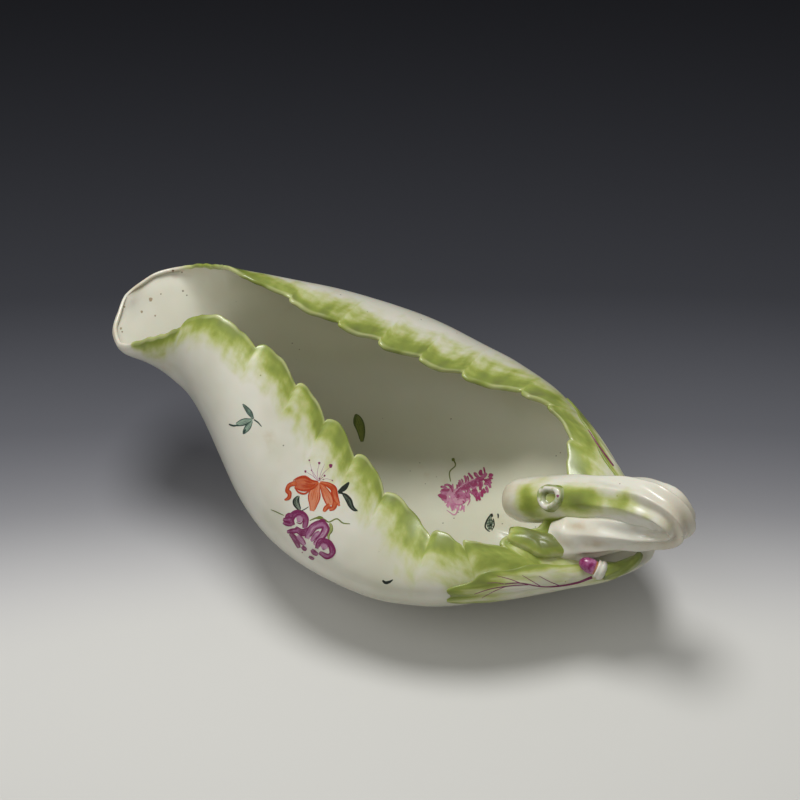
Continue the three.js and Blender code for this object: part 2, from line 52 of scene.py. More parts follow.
# Lines plan of the outer surface, one row for each station from the lip tip to the stern:
# rim x, rim half width, rim height, belly x, belly half width, belly height, keel x, keel height,
# extra width of the far rim.
STATIONS = np.array([
    [0, 0, 57, 0, 0, 57, 0, 57, 0],
    [1.5, 9.4, 56.5, 1.2, 9.8, 55.8, 1.5, 54.2, 0.4],
    [4, 14.6, 56.5, 4, 15.2, 55.4, 4, 52, 0.2],
    [9, 18.8, 57.5, 9, 19.2, 56, 9, 49, -0.4],
    [17, 17.6, 62.5, 17, 18.8, 57.5, 17, 43.8, 0.9],
    [24, 15.6, 67, 24, 18.4, 57, 24, 38.2, 1.7],
    [31, 12.8, 72, 31, 19.6, 56, 31, 32.4, 2.2],
    [40, 10.2, 75, 40, 24.4, 52.5, 40, 24.2, 2.3],
    [50, 11, 73, 50, 31.6, 47, 50, 16, 1.9],
    [62, 12.6, 68.5, 62, 39.6, 41, 62, 8.8, 1.6],
    [75, 16.6, 61.5, 75, 46.2, 36, 75, 4.4, 1.6],
    [90, 21.6, 53.5, 90, 50.4, 32, 90, 2.8, 1.6],
    [105, 27, 46, 105, 51, 29.5, 105, 2.5, 1.6],
    [118, 31.6, 41.2, 118, 49.8, 28.5, 115, 3, 1.5],
    [130, 33, 40.2, 134, 44.6, 28, 122, 4.5, 1.4],
    [140, 29.6, 39.4, 151, 33.8, 27.8, 127, 6, 1.2],
    [147.4, 22.4, 37, 166.4, 22, 27.6, 130, 7, 1],
    [151.6, 12, 35.2, 180, 11.6, 27.5, 131.5, 7.5, 0.6],
    [153, 0, 34.4, 186, 0, 27.5, 132, 7.5, 0],
])
LAST = len(STATIONS) - 1
HALF_WIDTH_COLUMNS = [1, 4]
MIDDLE_X = 100

# Thickness of the wall at the lip and in the body, and the rounding on top of the rim.
LIP_WALL = 2.2
BODY_WALL = 2.8
RIM_CROWN = 0.8
CROWN_ANGLES = np.pi * np.arange(1, 8) / 8

# Rib share of the belly line, and the stations over which the ribs fan out round the stern.
BELLY = 0.4
FAN_START = 13
FAN_STATIONS = 4
# Turn of the wall between belly and rim: at the stern, and its cosine at the lip tip and at most.
FAN_ARC = math.radians(72)
TIP_ARC_COSINE = 0.97
WALL_ARC_COSINE = 0.985
ARC_OVER_CHORD = 1.05
LEAST_HALF = 0.001
# Fullness of the lower half, and how much hollower it runs at the stern.
KEEL_FULLNESS = 0.9
STERN_HOLLOW = 0.6

# Rim lobes: stations of the notches between them, height over the notches, how early a lobe
# reaches its top, how full it is, and how soon it fades down the wall.
NOTCHES = np.array([5.6, 8.35, 9.6, 10.45, 11.25, 12.1, 13.55, 14.6, 15.9, 17.1])
LOBE_HEIGHT = 2.4
LOBE_LEAN = 0.64
LOBE_FULLNESS = 0.75
LOBE_FADE = 3
# The lobes are lower where the far rim comes to the handle.
LOW_LOBES_FROM = 15
LOW_LOBES_STATIONS = 0.5
LOW_LOBES_SHARE = 0.45

# Lip tip, where all ribs meet: its stations, outward direction of the underside and of the edge.
TIP_STATIONS = 1.5
TIP_NORMAL = np.array([-0.62, 0, -0.78])
TIP_EDGE = np.array([-0.78, 0, 0.62])

# Pressed creases that run down from the notches: depth, length, and half width in parts of a lobe.
CREASE_DEPTH = 0.4
CREASE_REACH = 8
CREASE_WIDTH = 0.13
# Slow waves of the hand-pressed wall: height, and the turn of each for one station, rib and side.
WAVE_DEPTH = 0.12
FIRST_WAVE = (2.1, 5, 1)
CROSSING_WAVE = (0.7, 9, 0)
SECOND_WAVE = (3.7, -7, 2)
SECOND_WAVE_SHARE = 0.6
# Stations over which the waves rise behind the lip tip and fall towards the stern.
WAVE_RISE = 3
WAVE_FALL = 2
# Swelling of the lower side where the bowl widens: middle, half extents and height.
SWELL_STATION = 9.3
SWELL_SHARE = 0.6
SWELL_STATIONS = 1.3
SWELL_SHARES = 0.2
SWELL_HEIGHT = 1.6

# The wall thins towards the rim, and its relief is flatter on the inner face.
RIM_THINNING = 0.42
RIM_THINNING_REACH = 6
INNER_RELIEF = 0.6
# The rim's edge wavers a little: turn for one station, share and turn for one side of each wave.
RIM_WAVER = 0.22
RIM_WAVES = [(11.3, 1, 1), (23.1, 0.25, 0), (4.9, 0.5, 0)]
WAVER_REACH = 3
WAVER_START = 2
WAVER_STATIONS = 2
# One more small point of the near rim stands where the lip ends.
LIP_POINT_STATION = 6.0
LIP_POINT_HEIGHT = 0.7
LIP_POINT_WIDTH = 0.25

# Where the wall is sampled: step along the lip, steps in a lobe, rows above and below the belly,
# and how much closer they lie behind each notch and below the rim.
LIP_STEP = 0.1
LOBE_STEPS = 18
LOBE_BUNCHING = 1.4
UPPER_ROWS = 26
UPPER_BUNCHING = 1.3
LOWER_ROWS = 24
# Steps over which slopes are taken, and how near to the keel and to both ends they are.
STATION_STEP = 0.02
SHARE_STEP = 0.01
RIM_STEP = 0.05
TABLE_STEP = 0.05
KEEL_LIMIT = 0.97
END_MARGIN = 0.05
TINY = 1e-12
# Points closer than this, in metres, are joined, and shorter edges are dropped.
SAME_POINT = 1e-6
SHORTEST_EDGE = 1e-7

# Handle stalk: x, y, height, radius upwards, radius sideways, depth of the flutes. Its lower end
# comes back under the bend and is luted to the near side of the stern.
STALK = np.array([
    [136, 0, 27.6, 0, 0, 0],
    [136.9, 0, 28.1, 4.4, 4.4, 0],
    [139.4, 0, 29.6, 6.7, 6.2, 0],
    [143.5, 0, 32, 7.3, 7, 0],
    [154, 0, 38.6, 7.3, 7.4, 0],
    [166, 0, 45.4, 7.1, 7.3, 0.2],
    [178, 0, 51.2, 6.9, 7.3, 0.5],
    [186, -0.3, 53.8, 6.4, 7.2, 0.7],
    [191.8, -0.8, 53.4, 5.6, 6.8, 0.8],
    [194.4, -1.4, 49.2, 4.8, 6, 0.9],
    [191, -2.8, 44.8, 4.4, 5.6, 0.9],
    [184.5, -4.8, 41.6, 4.3, 5.4, 0.9],
    [176.5, -7, 39.2, 4.3, 5.3, 0.8],
    [169, -8.8, 35.6, 4.3, 5.2, 0.6],
    [163.5, -9.8, 31.8, 3.8, 4.8, 0.3],
    [159, -10.6, 28.6, 2.6, 4.2, 0],
])
FLUTES = 8
FLUTE_TWIST = math.radians(120)
# Points round the stalk and steps for each row of its table.
STALK_SEGMENTS = 144
STALK_STEPS = 14

# Twig stump: place on the stalk, turn to the near side, radius, rise, thickness of its ring,
# skirt as extra radius and depth below the skin, hollow as radius and depth below the top.
STUMP_STATION = 4.15
STUMP_TURN = math.radians(42)
STUMP_RADIUS = 4.3
STUMP_RISE = 1.6
STUMP_RING = 1.05
STUMP_RING_STEPS = 12
STUMP_SKIRT = [(0.6, 3), (0.5, 0.6)]
STUMP_HOLLOW = [(1.9, 1.5), (1.2, 1.9), (0, 2.0)]
STUMP_SEGMENTS = 48
STUMP_WOBBLE = 0.12

# Applied leaves: middle by station and rib share, half extents, lobes, thickness, edge, and rings
# and points in a ring.
RIM_LEAF = dict(station=16.54, share=0.07, station_reach=0.45, share_reach=0.082,
                lobes=5, lobe_depth=0.1, thickness=3.6, edge=1.4, rings=24, segments=120)
STERN_LEAF = dict(station=15.55, share=0.36, station_reach=1.4, share_reach=0.2,
                  lobes=9, lobe_depth=0.05, thickness=0.8, edge=0.3, rings=40, segments=200)
LEAF_SEAT = 0.2
# Stretch of the wash's noise along stations and along ribs.
LEAF_FLOW = (10, 100)
# Edge of a leaf: its reach, and its two rows by lift in shares of the edge's thickness.
LEAF_SKIRT = 1.02
LEAF_SKIRT_LIFTS = (0.5, -1.0)

# Bud stalk: station, rib share, stand-off from the surface, radius.
BUD_STALK = np.array([
    [17.75, 0.29, 1.3, 1.0],
    [17.45, 0.305, 2.4, 1.7],
    [17.05, 0.305, 3.2, 2.3],
    [16.75, 0.285, 3.4, 2.7],
])
BUD_STALK_STEPS = 36
BUD_TABLE_STEP = 0.02
# Its rounded start in steps, its knobs by height, number and turn at each step, and its green.
BUD_STALK_ROUNDING = 3
BUD_STALK_KNOBS = (0.05, 6, 0.4)
BUD_STALK_GREEN = 0.9
# Bud and its collar: direction, lengths and radii, and outlines as shares of both; the collar's
# base has its radii as shares of the stalk's.
BUD_DIRECTION = Vector((-0.82, -0.18, 0.3)).normalized()
CALYX_LENGTH = 2.4
CALYX_RADIUS = 3.2
CALYX_SEAT = 0.8
CALYX_WOBBLE = 0.03
CALYX_BASE = [(0, 0), (0.8, 0), (1, 0.3)]
CALYX_OUTLINE = [(0.98, 0.35), (1, 0.55), (0.86, 0.72), (0.94, 0.86), (0.85, 1), (0.6, 1), (0, 0.9)]
BUD_LENGTH = 6.4
BUD_RADIUS = 2.4
BUD_WOBBLE = 0.02
BUD_SEGMENTS = 40
BUD_OUTLINE = [(0, 0), (0.72, 0), (0.9, 0.12), (1, 0.3), (1, 0.48), (0.93, 0.64), (0.78, 0.79),
               (0.55, 0.91), (0.28, 0.98), (0, 1)]

# Foot ring: half extents, wall, top inside the bowl, and its rounded corner.
FOOT_HALF_LENGTH = 28
FOOT_HALF_WIDTH = 17
FOOT_WALL = 5
FOOT_TOP = 4.6
FOOT_ROUNDING = 0.6
FOOT_CORNER = [(0, 1), (0.3, 0.3), (1, 0)]
FOOT_SEGMENTS = 120

# Camera of the photograph's view, as three directions of the part's frame.
VIEW_POINT = Vector((-10, 0, 60))
VIEW_RIGHT = Vector((0.889, 0.456, -0.025))
VIEW_UP = Vector((-0.335, 0.689, 0.642))
VIEW_BACK = Vector((0.310, -0.563, 0.766))
VIEW_DISTANCE = 1300
LENS = 187.2
SENSOR_WIDTH = 36
SHIFT_X = 0.0307
SHIFT_Y = -0.018
CLIP_START = 0.1
CLIP_END = 20


def linear(red, green, blue):
    """Scene-linear colour of a display colour given from 0 to 255."""
    def one(value):
        value = value / 255
        return value / 12.92 if value <= 0.04045 else ((value + 0.055) / 1.055) ** 2.4
    return (one(red), one(green), one(blue), 1.0)


WHITE = linear(224, 221, 206)
WHITE_SHADE = linear(204, 202, 180)
# Painted shade of the inner face: a darker, olive white.
INNER_PAINTED_SHADE = linear(203, 202, 179)
# Warm stain, also laid as painted shade in the stalk's flutes and on its bend.
WARM_STAIN_AND_SHADE = linear(190, 166, 120)
PALE_LIME = linear(206, 210, 148)
LIME = linear(181, 189, 86)
LEAF_GREEN = linear(130, 146, 34)
OLIVE = linear(96, 104, 28)
PUCE = linear(126, 26, 84)
PUCE_PALE = linear(196, 128, 172)
SPECK = linear(70, 56, 34)
YELLOW = linear(214, 150, 30)
# Enamels: colour of a full stroke and of a thin one.
ENAMELS = {
    "puce_enamel": (PUCE, PUCE_PALE),
    "orange_enamel": (linear(184, 56, 10), linear(232, 118, 52)),
    "rose_enamel": (linear(150, 26, 88), linear(216, 136, 176)),
    "black_green_enamel": (linear(20, 30, 20), linear(96, 116, 96)),
    "teal_enamel": (linear(44, 66, 58), linear(140, 172, 150)),
    "stem_enamel": (linear(104, 114, 34), linear(170, 180, 94)),
    "olive_enamel": (linear(80, 96, 6), linear(140, 154, 40)),
    "brown_spots": (linear(112, 84, 52), linear(178, 158, 124)),
}


def smooth_between(rows, before, after, position):
    """Smooth values of every column of a table between its rows."""
    table = np.vstack([before, rows, after])
    position = np.asarray(position, float)
    index = np.clip(np.floor(position).astype(int), 0, len(rows) - 2)
    t = (position - index)[..., None]
    p0, p1, p2, p3 = (table[index + k] for k in range(4))
    start = (p2 - p0) / 2
    end = (p3 - p1) / 2
    return ((2 * t**3 - 3 * t**2 + 1) * p1 + (t**3 - 2 * t**2 + t) * start
            + (-2 * t**3 + 3 * t**2) * p2 + (t**3 - t**2) * end)


def along_rows(rows, position, step=TABLE_STEP, ends=None):
    """Smooth values of a table at a position, and how they change there."""
    before, after = ends or (2 * rows[0] - rows[1], 2 * rows[-1] - rows[-2])
    places = (position, min(position + step, len(rows) - 1), max(position - step, 0))
    here, ahead, behind = (smooth_between(rows, before, after, place) for place in places)
    return here, ahead - behind


def mirrored(row):
    row = row.copy()
    row[HALF_WIDTH_COLUMNS] *= -1
    return row


def lobe_part(station):
    """Where a station lies within its rim lobe, from 0 to 1, and whether it has one."""
    following = np.searchsorted(NOTCHES, station, side="right")
    has_lobe = (following > 0) & (following < len(NOTCHES))
    following = np.clip(following, 1, len(NOTCHES) - 1)
    start = NOTCHES[following - 1]
    part = (station - start) / (NOTCHES[following] - start)
    return np.clip(part, 0, 1), has_lobe


def lobe_height(station):
    part, has_lobe = lobe_part(station)
    bulge = np.maximum(np.sin(np.pi * part**LOBE_LEAN), 0) ** LOBE_FULLNESS
    return np.where(has_lobe, LOBE_HEIGHT * bulge, 0)


def surface(station, share, side):
    """Points of the outer surface; share runs from the rim (0) to the keel (1)."""
    station, share, side = np.broadcast_arrays(
        np.asarray(station, float), np.asarray(share, float), np.asarray(side, float))
    side = np.where(station < 0, -side, side)
    station = np.abs(station)
    side = np.where(station > LAST, -side, side)
    station = np.where(station > LAST, 2 * LAST - station, station)
    side = np.where(share > 1, -side, side)
    share = np.where(share > 1, 2 - share, share)
    row = smooth_between(STATIONS, mirrored(STATIONS[1]), mirrored(STATIONS[-2]), station)
    rim_x, half, rim_z, belly_x, belly_half, belly_z, keel_x, keel_z, spread = np.moveaxis(
        row, -1, 0)
    rim_half = half + np.where(side > 0, spread, 0)
    fan = np.clip((station - FAN_START) / FAN_STATIONS, 0, 1)
    cosine = np.minimum(rim_half / np.maximum(belly_half, LEAST_HALF), WALL_ARC_COSINE)
    cosine = np.where(station < 1, TIP_ARC_COSINE, np.maximum(cosine, -1))
    full_arc = np.arccos(cosine) * (1 - fan) + FAN_ARC * fan
    chord = np.sqrt((belly_half - rim_half) ** 2 + (belly_x - rim_x) ** 2 + (rim_z - belly_z) ** 2)
    low_lobes = np.clip((station - LOW_LOBES_FROM) / LOW_LOBES_STATIONS, 0, 1) * (side > 0)
    lobe = lobe_height(station) * (1 - low_lobes * (1 - LOW_LOBES_SHARE))
    growth = lobe / np.maximum(chord * ARC_OVER_CHORD, 1)
    above = np.maximum(1 - share / BELLY, 0)
    arc = full_arc * (above + growth * above**LOBE_FADE)
    inward = (1 - np.cos(arc)) / (1 - np.cos(full_arc))
    upper = np.stack([
        belly_x + (rim_x - belly_x) * inward,
        belly_half + (rim_half - belly_half) * inward,
        belly_z + (rim_z - belly_z) * np.sin(arc) / np.sin(full_arc)], -1)
    down = np.clip((share - BELLY) / (1 - BELLY), 0, 1) * np.pi / 2
    lower = np.stack([
        keel_x + (belly_x - keel_x) * np.cos(down),
        belly_half * np.maximum(np.cos(down), 0) ** KEEL_FULLNESS,
        belly_z - (belly_z - keel_z) * np.sin(down) ** (1 + STERN_HOLLOW * fan)], -1)
    points = np.where((share < BELLY)[..., None], upper, lower)
    points[..., 0] -= MIDDLE_X
    points[..., 1] *= side
    return points


def unit(vectors):
    length = np.linalg.norm(vectors, axis=-1, keepdims=True)
    return vectors / np.maximum(length, TINY)


def surface_normal(station, share, side):
    """Outward direction of the surface."""
    station, share, side = np.broadcast_arrays(
        np.asarray(station, float), np.asarray(share, float), np.asarray(side, float))
    seam = (share >= 1) | (station <= 0) | (station >= LAST)
    half = np.where(seam, NEAR, side)
    a = np.minimum(share, KEEL_LIMIT)
    s = np.clip(station, END_MARGIN, LAST - END_MARGIN)
    along = surface(s + STATION_STEP, a, half) - surface(s - STATION_STEP, a, half)
    down = surface(s, a + SHARE_STEP, half) - surface(s, np.maximum(a - SHARE_STEP, 0), half)
    normal = unit(np.cross(along, down) * half[..., None])
    normal[..., 1] = np.where(seam, 0, normal[..., 1])
    tip = (1 - np.minimum(station / TIP_STATIONS, 1))[..., None]
    return unit(normal * (1 - tip) + TIP_NORMAL * tip)


def relief(station, share, side, rim_distance):
    """Height of the hand-pressed surface over the plain form."""
    def wave(turns):
        return np.sin(turns[0] * station + turns[1] * share + turns[2] * side)
    part, has_lobe = lobe_part(station)
    near_notch = np.minimum(part, 1 - part)
    crease = np.exp(-(near_notch / CREASE_WIDTH) ** 2) * np.exp(-(rim_distance / CREASE_REACH) ** 2)
    depth = np.where(has_lobe, crease, 0) * CREASE_DEPTH
    middle = np.sin(np.pi * share)
    waves = wave(FIRST_WAVE) * wave(CROSSING_WAVE) + SECOND_WAVE_SHARE * wave(SECOND_WAVE) * middle
    fade = np.clip(station / WAVE_RISE, 0, 1) * np.clip((LAST - station) / WAVE_FALL, 0, 1) * middle
    swell = np.exp(-((station - SWELL_STATION) / SWELL_STATIONS) ** 2
                   - ((share - SWELL_SHARE) / SWELL_SHARES) ** 2)
    return waves * fade * WAVE_DEPTH - depth + swell * SWELL_HEIGHT


def rim_waver(stations, side):
    """How far the rim's edge stands out from its plain line."""
    waver = sum(height * np.sin(turn * stations + shift * side) for turn, height, shift in RIM_WAVES)
    fade = np.clip((stations - WAVER_START) / WAVER_STATIONS, 0, 1) * np.clip(LAST - stations, 0, 1)
    waver = waver * RIM_WAVER * fade
    if side == NEAR:
        offset = (stations - LIP_POINT_STATION) / LIP_POINT_WIDTH
        waver = waver + LIP_POINT_HEIGHT * np.exp(-offset**2)
    return waver


def mesh_object(name, points, faces, nodes=()):
    """A smooth mesh of points in millimetres that rides on the part and stands for CAD nodes."""
    mesh = bpy.data.meshes.new(name)
    mesh.from_pydata((np.asarray(points) * MM).tolist(), [], [list(map(int, f)) for f in faces])
    mesh.polygons.foreach_set("use_smooth", [True] * len(mesh.polygons))
    piece = bpy.data.objects.new(name, mesh)
    bpy.context.scene.collection.objects.link(piece)
    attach(piece, "root")
    if nodes:
        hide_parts(*nodes)
    return piece


def set_field(piece, name, values):
    """A number or a vector at every point, for the glaze to read."""
    values = np.asarray(values, np.float32)
    kind, key = ("FLOAT_VECTOR", "vector") if values.ndim == 2 else ("FLOAT", "value")
    attribute = piece.data.attributes.new(name, kind, "POINT")
    attribute.data.foreach_set(key, values.ravel())


def closed_piece(name, points, faces, node, fields=None):
    """A piece whose touching points are joined and whose faces all look outwards."""
    piece = mesh_object(name, points, faces, [node])
    for field, values in (fields or {}).items():
        set_field(piece, field, values)
    shape = bmesh.new()
    shape.from_mesh(piece.data)
    bmesh.ops.remove_doubles(shape, verts=shape.verts, dist=SAME_POINT)
    bmesh.ops.dissolve_degenerate(shape, dist=SHORTEST_EDGE, edges=shape.edges)
    bmesh.ops.recalc_face_normals(shape, faces=shape.faces)
    shape.to_mesh(piece.data)
    shape.free()
    piece.data.polygons.foreach_set("use_smooth", [True] * len(piece.data.polygons))
    return piece


def sheet_faces(rows, columns, start=0, closed=False):
    faces = []
    for i in range(rows - 1):
        for j in range(columns if closed else columns - 1):
            k = (j + 1) % columns
            a = start + i * columns
            faces.append((a + j, a + k, a + columns + k, a + columns + j))
    return faces


def angles_round(segments):
    return [2 * math.pi * j / segments for j in range(segments)]


def station_samples():
    stations = list(np.arange(0, NOTCHES[0], LIP_STEP))
    ends = [*NOTCHES, LAST]
    parts = (np.arange(LOBE_STEPS) / LOBE_STEPS) ** LOBE_BUNCHING
    for first, second in zip(ends[:-1], ends[1:]):
        stations.extend(first + (second - first) * parts)
    return np.array([*stations, LAST])


def share_samples():
    upper = BELLY * (np.arange(UPPER_ROWS) / UPPER_ROWS) ** UPPER_BUNCHING
    lower = BELLY + (1 - BELLY) * np.arange(LOWER_ROWS + 1) / LOWER_ROWS
    return np.concatenate([upper, lower])


# Width of the green wash below the rim: stations, and millimetres at each.
WASH_WIDTHS = {
    NEAR: ([0, 3.3, 4, 4.8, 5.8, 7, 9, 12, 13.5, 14.6, 15.4, 16.6, 17.4, 18],
           [0, 0, 4.5, 6.5, 5.5, 6, 7.5, 9, 10, 12, 17, 18, 8, 5]),
    FAR: ([0, 2.2, 3.2, 4.4, 6, 8, 12, 15, 17, 18],
          [0, 0, 0.9, 2, 4.6, 8.5, 11, 12, 12, 6]),
}
# How much deeper the wash is in the middle of a lobe than at its notches, where it turns from
# shallower to deeper, and how far down that reaches.
LOBE_WASH = 0.3
LOBE_WASH_TURN = 0.6
LOBE_WASH_REACH = 7
# Least width that counts, and the width from which the wash has its full strength.
LEAST_WASH = 0.05
FULL_WASH = 1.5
# Distance from the rim as the wash takes it: on the crown, at the start of the inner face, and how
# much faster it grows there.
CROWN_DISTANCE = -0.3
INNER_DISTANCE = 0.6
INNER_GROWTH = 5
# Reach of the wear and of the painted highlight on the rim's edge.
WEAR_AND_HIGHLIGHT_REACH = 0.8
# The stain on the lip's bare edge fades over so many stations, from this level down to nothing,
# and reaches so deep below the rim.
LIP_STAIN_STATIONS = 3.4
LIP_STAIN_LEVEL = 1.5
LIP_STAIN_REACH = 4
# The inner face takes its painted shade from this station on, over so many stations.
INSIDE_START = 1
INSIDE_STATIONS = 7
# Shift of the wash's noise between both halves, both faces and the other pieces.
SIDE_SHIFT = 60
INNER_SHIFT = 200
STALK_SHIFT = 400
LEAF_SHIFT = 700


def half_wall(stations, shares, side):
    """Rows from the keel over the rim to the inner keel, depth below the rim, length along it."""
    s, a = np.meshgrid(stations, shares, indexing="ij")
    plain = surface(s, a, side)
    normal = surface_normal(s, a, side)
    down = np.linalg.norm(np.diff(plain, axis=1), axis=2)
    depth = np.concatenate([np.zeros((len(stations), 1)), np.cumsum(down, axis=1)], axis=1)
    lift = relief(s, a, side, depth)[..., None]
    run = unit(surface(stations, 0, side) - surface(stations, RIM_STEP, side))
    tip = (1 - np.minimum(stations / TIP_STATIONS, 1))[:, None]
    run = unit(run * (1 - tip) + TIP_EDGE * tip)
    run[stations >= LAST, 1] = 0
    waver = rim_waver(stations, side)[:, None] * np.exp(-(depth / WAVER_REACH) ** 2)
    plain = plain + run[:, None] * waver[..., None]
    wall = (LIP_WALL + (BODY_WALL - LIP_WALL) * np.minimum(stations / FAN_START, 1))[:, None, None]
    thickness = wall * (1 - RIM_THINNING * np.exp(-(depth / RIM_THINNING_REACH) ** 2))[..., None]
    outer = plain + normal * lift
    inner = plain - normal * (thickness - lift * INNER_RELIEF)
    middle = (outer[:, 0] + inner[:, 0]) / 2
    across = (outer[:, 0] - inner[:, 0]) / 2
    crown = np.stack([middle + across * math.cos(t) + run * RIM_CROWN * math.sin(t)
                      for t in CROWN_ANGLES], axis=1)
    steps = np.linalg.norm(np.diff(plain[:, 0], axis=0), axis=1)
    along = np.concatenate([[0], np.cumsum(steps)])
    return np.concatenate([outer[:, ::-1], crown, inner], axis=1), depth, along


def wall_fields(stations, side, depth, along):
    """Where the wash, the stain, the wear and painted highlight of the rim's edge, and the painted
    shade of the inner face lie on one half of the wall.
    """
    crown = np.zeros((len(stations), len(CROWN_ANGLES)))
    both_faces = np.concatenate([depth[:, ::-1], crown, depth], axis=1)
    rim_distance = np.concatenate(
        [depth[:, ::-1], crown + CROWN_DISTANCE, depth * INNER_GROWTH + INNER_DISTANCE], axis=1)
    width = np.interp(stations, *WASH_WIDTHS[side])[:, None]
    green = (1 - rim_distance / np.maximum(2 * width, LEAST_WASH)).clip(-1, 1)
    part, has_lobe = lobe_part(stations)
    middle_of_lobe = np.where(has_lobe, np.sin(np.pi * part) - LOBE_WASH_TURN, 0)[:, None]
    green = green + LOBE_WASH * middle_of_lobe * np.exp(-rim_distance / LOBE_WASH_REACH)
    washed = np.clip(width / FULL_WASH, 0, 1)
    inside = np.zeros(both_faces.shape)
    inside[:, -depth.shape[1]:] = 1
    lip = np.clip(LIP_STAIN_LEVEL - stations / LIP_STAIN_STATIONS, 0, 1)[:, None]
    shift = side * SIDE_SHIFT + inside * INNER_SHIFT
    return {
        "green": green * washed + washed - 1,
        # Wear on the rim's edge, painted paler as a highlight too.
        "edge": np.exp(-(rim_distance / WEAR_AND_HIGHLIGHT_REACH) ** 2),
        # Painted shade of the inner face, fading in behind the lip.
        "inside": inside * np.clip((stations - INSIDE_START) / INSIDE_STATIONS, 0, 1)[:, None],
        "stain": lip * np.exp(-(both_faces / LIP_STAIN_REACH) ** 2),
        "flow": np.stack([along[:, None] * np.ones(shift.shape), rim_distance, shift], -1),
    }


def build_bowl():
    """The wall of the bowl, both faces and its rounded rim."""
    stations = station_samples()
    shares = share_samples()
    points, faces, halves = [], [], []
    for side in (NEAR, FAR):
        rows, depth, along = half_wall(stations, shares, side)
        faces.extend(sheet_faces(*rows.shape[:2], len(points)))
        points.extend(rows.reshape(-1, 3))
        halves.append(wall_fields(stations, side, depth, along))
    fields = {}
    for name in halves[0]:
        values = np.concatenate([half[name] for half in halves])
        fields[name] = values.reshape(-1, 3) if values.ndim == 3 else values.ravel()
    return closed_piece("bowl", points, faces, "boat_shell", fields)


def build_foot():
    """Oval foot ring with rounded edges; its top runs up into the bowl."""
    outer = [(FOOT_ROUNDING * inset, FOOT_ROUNDING * height) for inset, height in FOOT_CORNER]
    inner = [(FOOT_WALL - inset, height) for inset, height in reversed(outer)]
    profile = [(0, FOOT_TOP), *outer, *inner, (FOOT_WALL, FOOT_TOP)]
    points = []
    for inset, height in profile:
        for angle in angles_round(FOOT_SEGMENTS):
            points.append(((FOOT_HALF_LENGTH - inset) * math.cos(angle),
                           (FOOT_HALF_WIDTH - inset) * math.sin(angle), height))
    faces = sheet_faces(len(profile), FOOT_SEGMENTS, closed=True)
    return closed_piece("foot", points, faces, "foot_ring")


def stalk_frame(position):
    """Centre line point of the stalk, its upper side, its far side and its row of the table."""
    row, change = along_rows(STALK, position, ends=(STALK[0], STALK[-1]))
    along = Vector(change[:3]).normalized()
    sideways = (Vector((0, 1, 0)) - along * along.y).normalized()
    outward = along.cross(sideways)
    return Vector((row[0] - MIDDLE_X, row[1], row[2])), outward, sideways, row


# Green patches of the stalk: position, half length, angle from its upper side, half angle, strength.
STALK_PATCHES = [
    [4.8, 1.15, -52, 44, 1.05],
    [6.0, 0.9, -54, 36, 0.8],
    [3.5, 0.6, -60, 75, 0.75],
    [4.4, 1.3, -112, 20, 0.85],
    [6.9, 0.8, -72, 18, 0.35],
]
# The lower limb lies closer under the bend: positions, and millimetres it rises at each.
LIMB_RISE = ([8.6, 9.6, 10.6, 12, 13.5, 15], [0, 1.6, 2.8, 2.4, 1.4, 0.6])
# Web that joins the lower limb to the bend above it: positions, and millimetres at each.
WEB = ([9.3, 11, 12, 13.2, 14.2, 15], [0, 2, 3, 4.2, 5.2, 5.4])
# The lower end spreads where it is luted to the stern: positions, and millimetres at each.
LUTING_SWELL = ([11.5, 13, 14, 15], [0, 1, 2.6, 3.4])
# Painted shade in the flute valleys round the bend and lower limb: positions, and strength at each.
FLUTE_PAINTED_SHADE = ([6.5, 9, 11, 13.5, 15], [0, 0.5, 1, 0.9, 0.2])
# Warm stain of the root, and painted shade greying the bend: positions, and strength at each.
SKIN_STAIN_AND_SHADE = ([0, 3, 4.2, 6.5, 8, 10, 13, 15], [0.9, 0.8, 0, 0, 0.4, 0.6, 0.4, 0.1])


def stalk_green(position, degrees):
    green = 0
    for middle, length, angle, spread, strength in STALK_PATCHES:
        turn = (degrees - angle + 180) % 360 - 180
        patch = math.exp(-((position - middle) / length) ** 2 - (turn / spread) ** 2)
        green = max(green, strength * patch)
    return green


# Web: millimetres at which the flutes on its top are flattest, how much of them goes, and how
# narrow it is.
FULL_WEB = 3
WEB_SMOOTHING = 0.6
WEB_NARROWING = 1.5
# Flutes: sharpness of their valleys, and a slower wave that makes them uneven, by its share, its
# number round the stalk and its turn along it.
FLUTE_SHARPNESS = 0.6
UNEVEN_FLUTES = (0.3, 3, 0.8)
# Knobs and hollows of the stalk's skin: height, number round it, their slant and their turn along
# it, where they start and over how many rows they rise.
BARK_HEIGHT = 0.28
BARK_WAVES = (5, 2.3, 3.1)
BARK_START = 3
BARK_ROWS = 2
# The stalk ends this deep under the outer face of the stern, which is looked for from above.
LUTING_DEPTH = 1.4
ABOVE_ALL = 100
# Stretch of the wash's noise round the stalk and along it.
STALK_FLOW = (7, 9)


def stalk_skin(position, angle, row, flattened):
    """How far the skin stands out at one point, and how deep in a flute it lies."""
    turned = angle + FLUTE_TWIST * (position / (len(STALK) - 1)) ** 2
    valley = 0.5 - 0.5 * math.cos(FLUTES * turned)
    share, number, turn = UNEVEN_FLUTES
    flute = row[5] * (1 - 2 * valley**FLUTE_SHARPNESS)
    flute += row[5] * share * math.sin(number * turned + turn * position)
    flute *= 1 - flattened
    knobs, slant, along = BARK_WAVES
    bark = BARK_HEIGHT * math.sin(knobs * angle + slant * position) * math.sin(along * position + angle)
    return flute + bark * min(max(position - BARK_START, 0) / BARK_ROWS, 1), valley


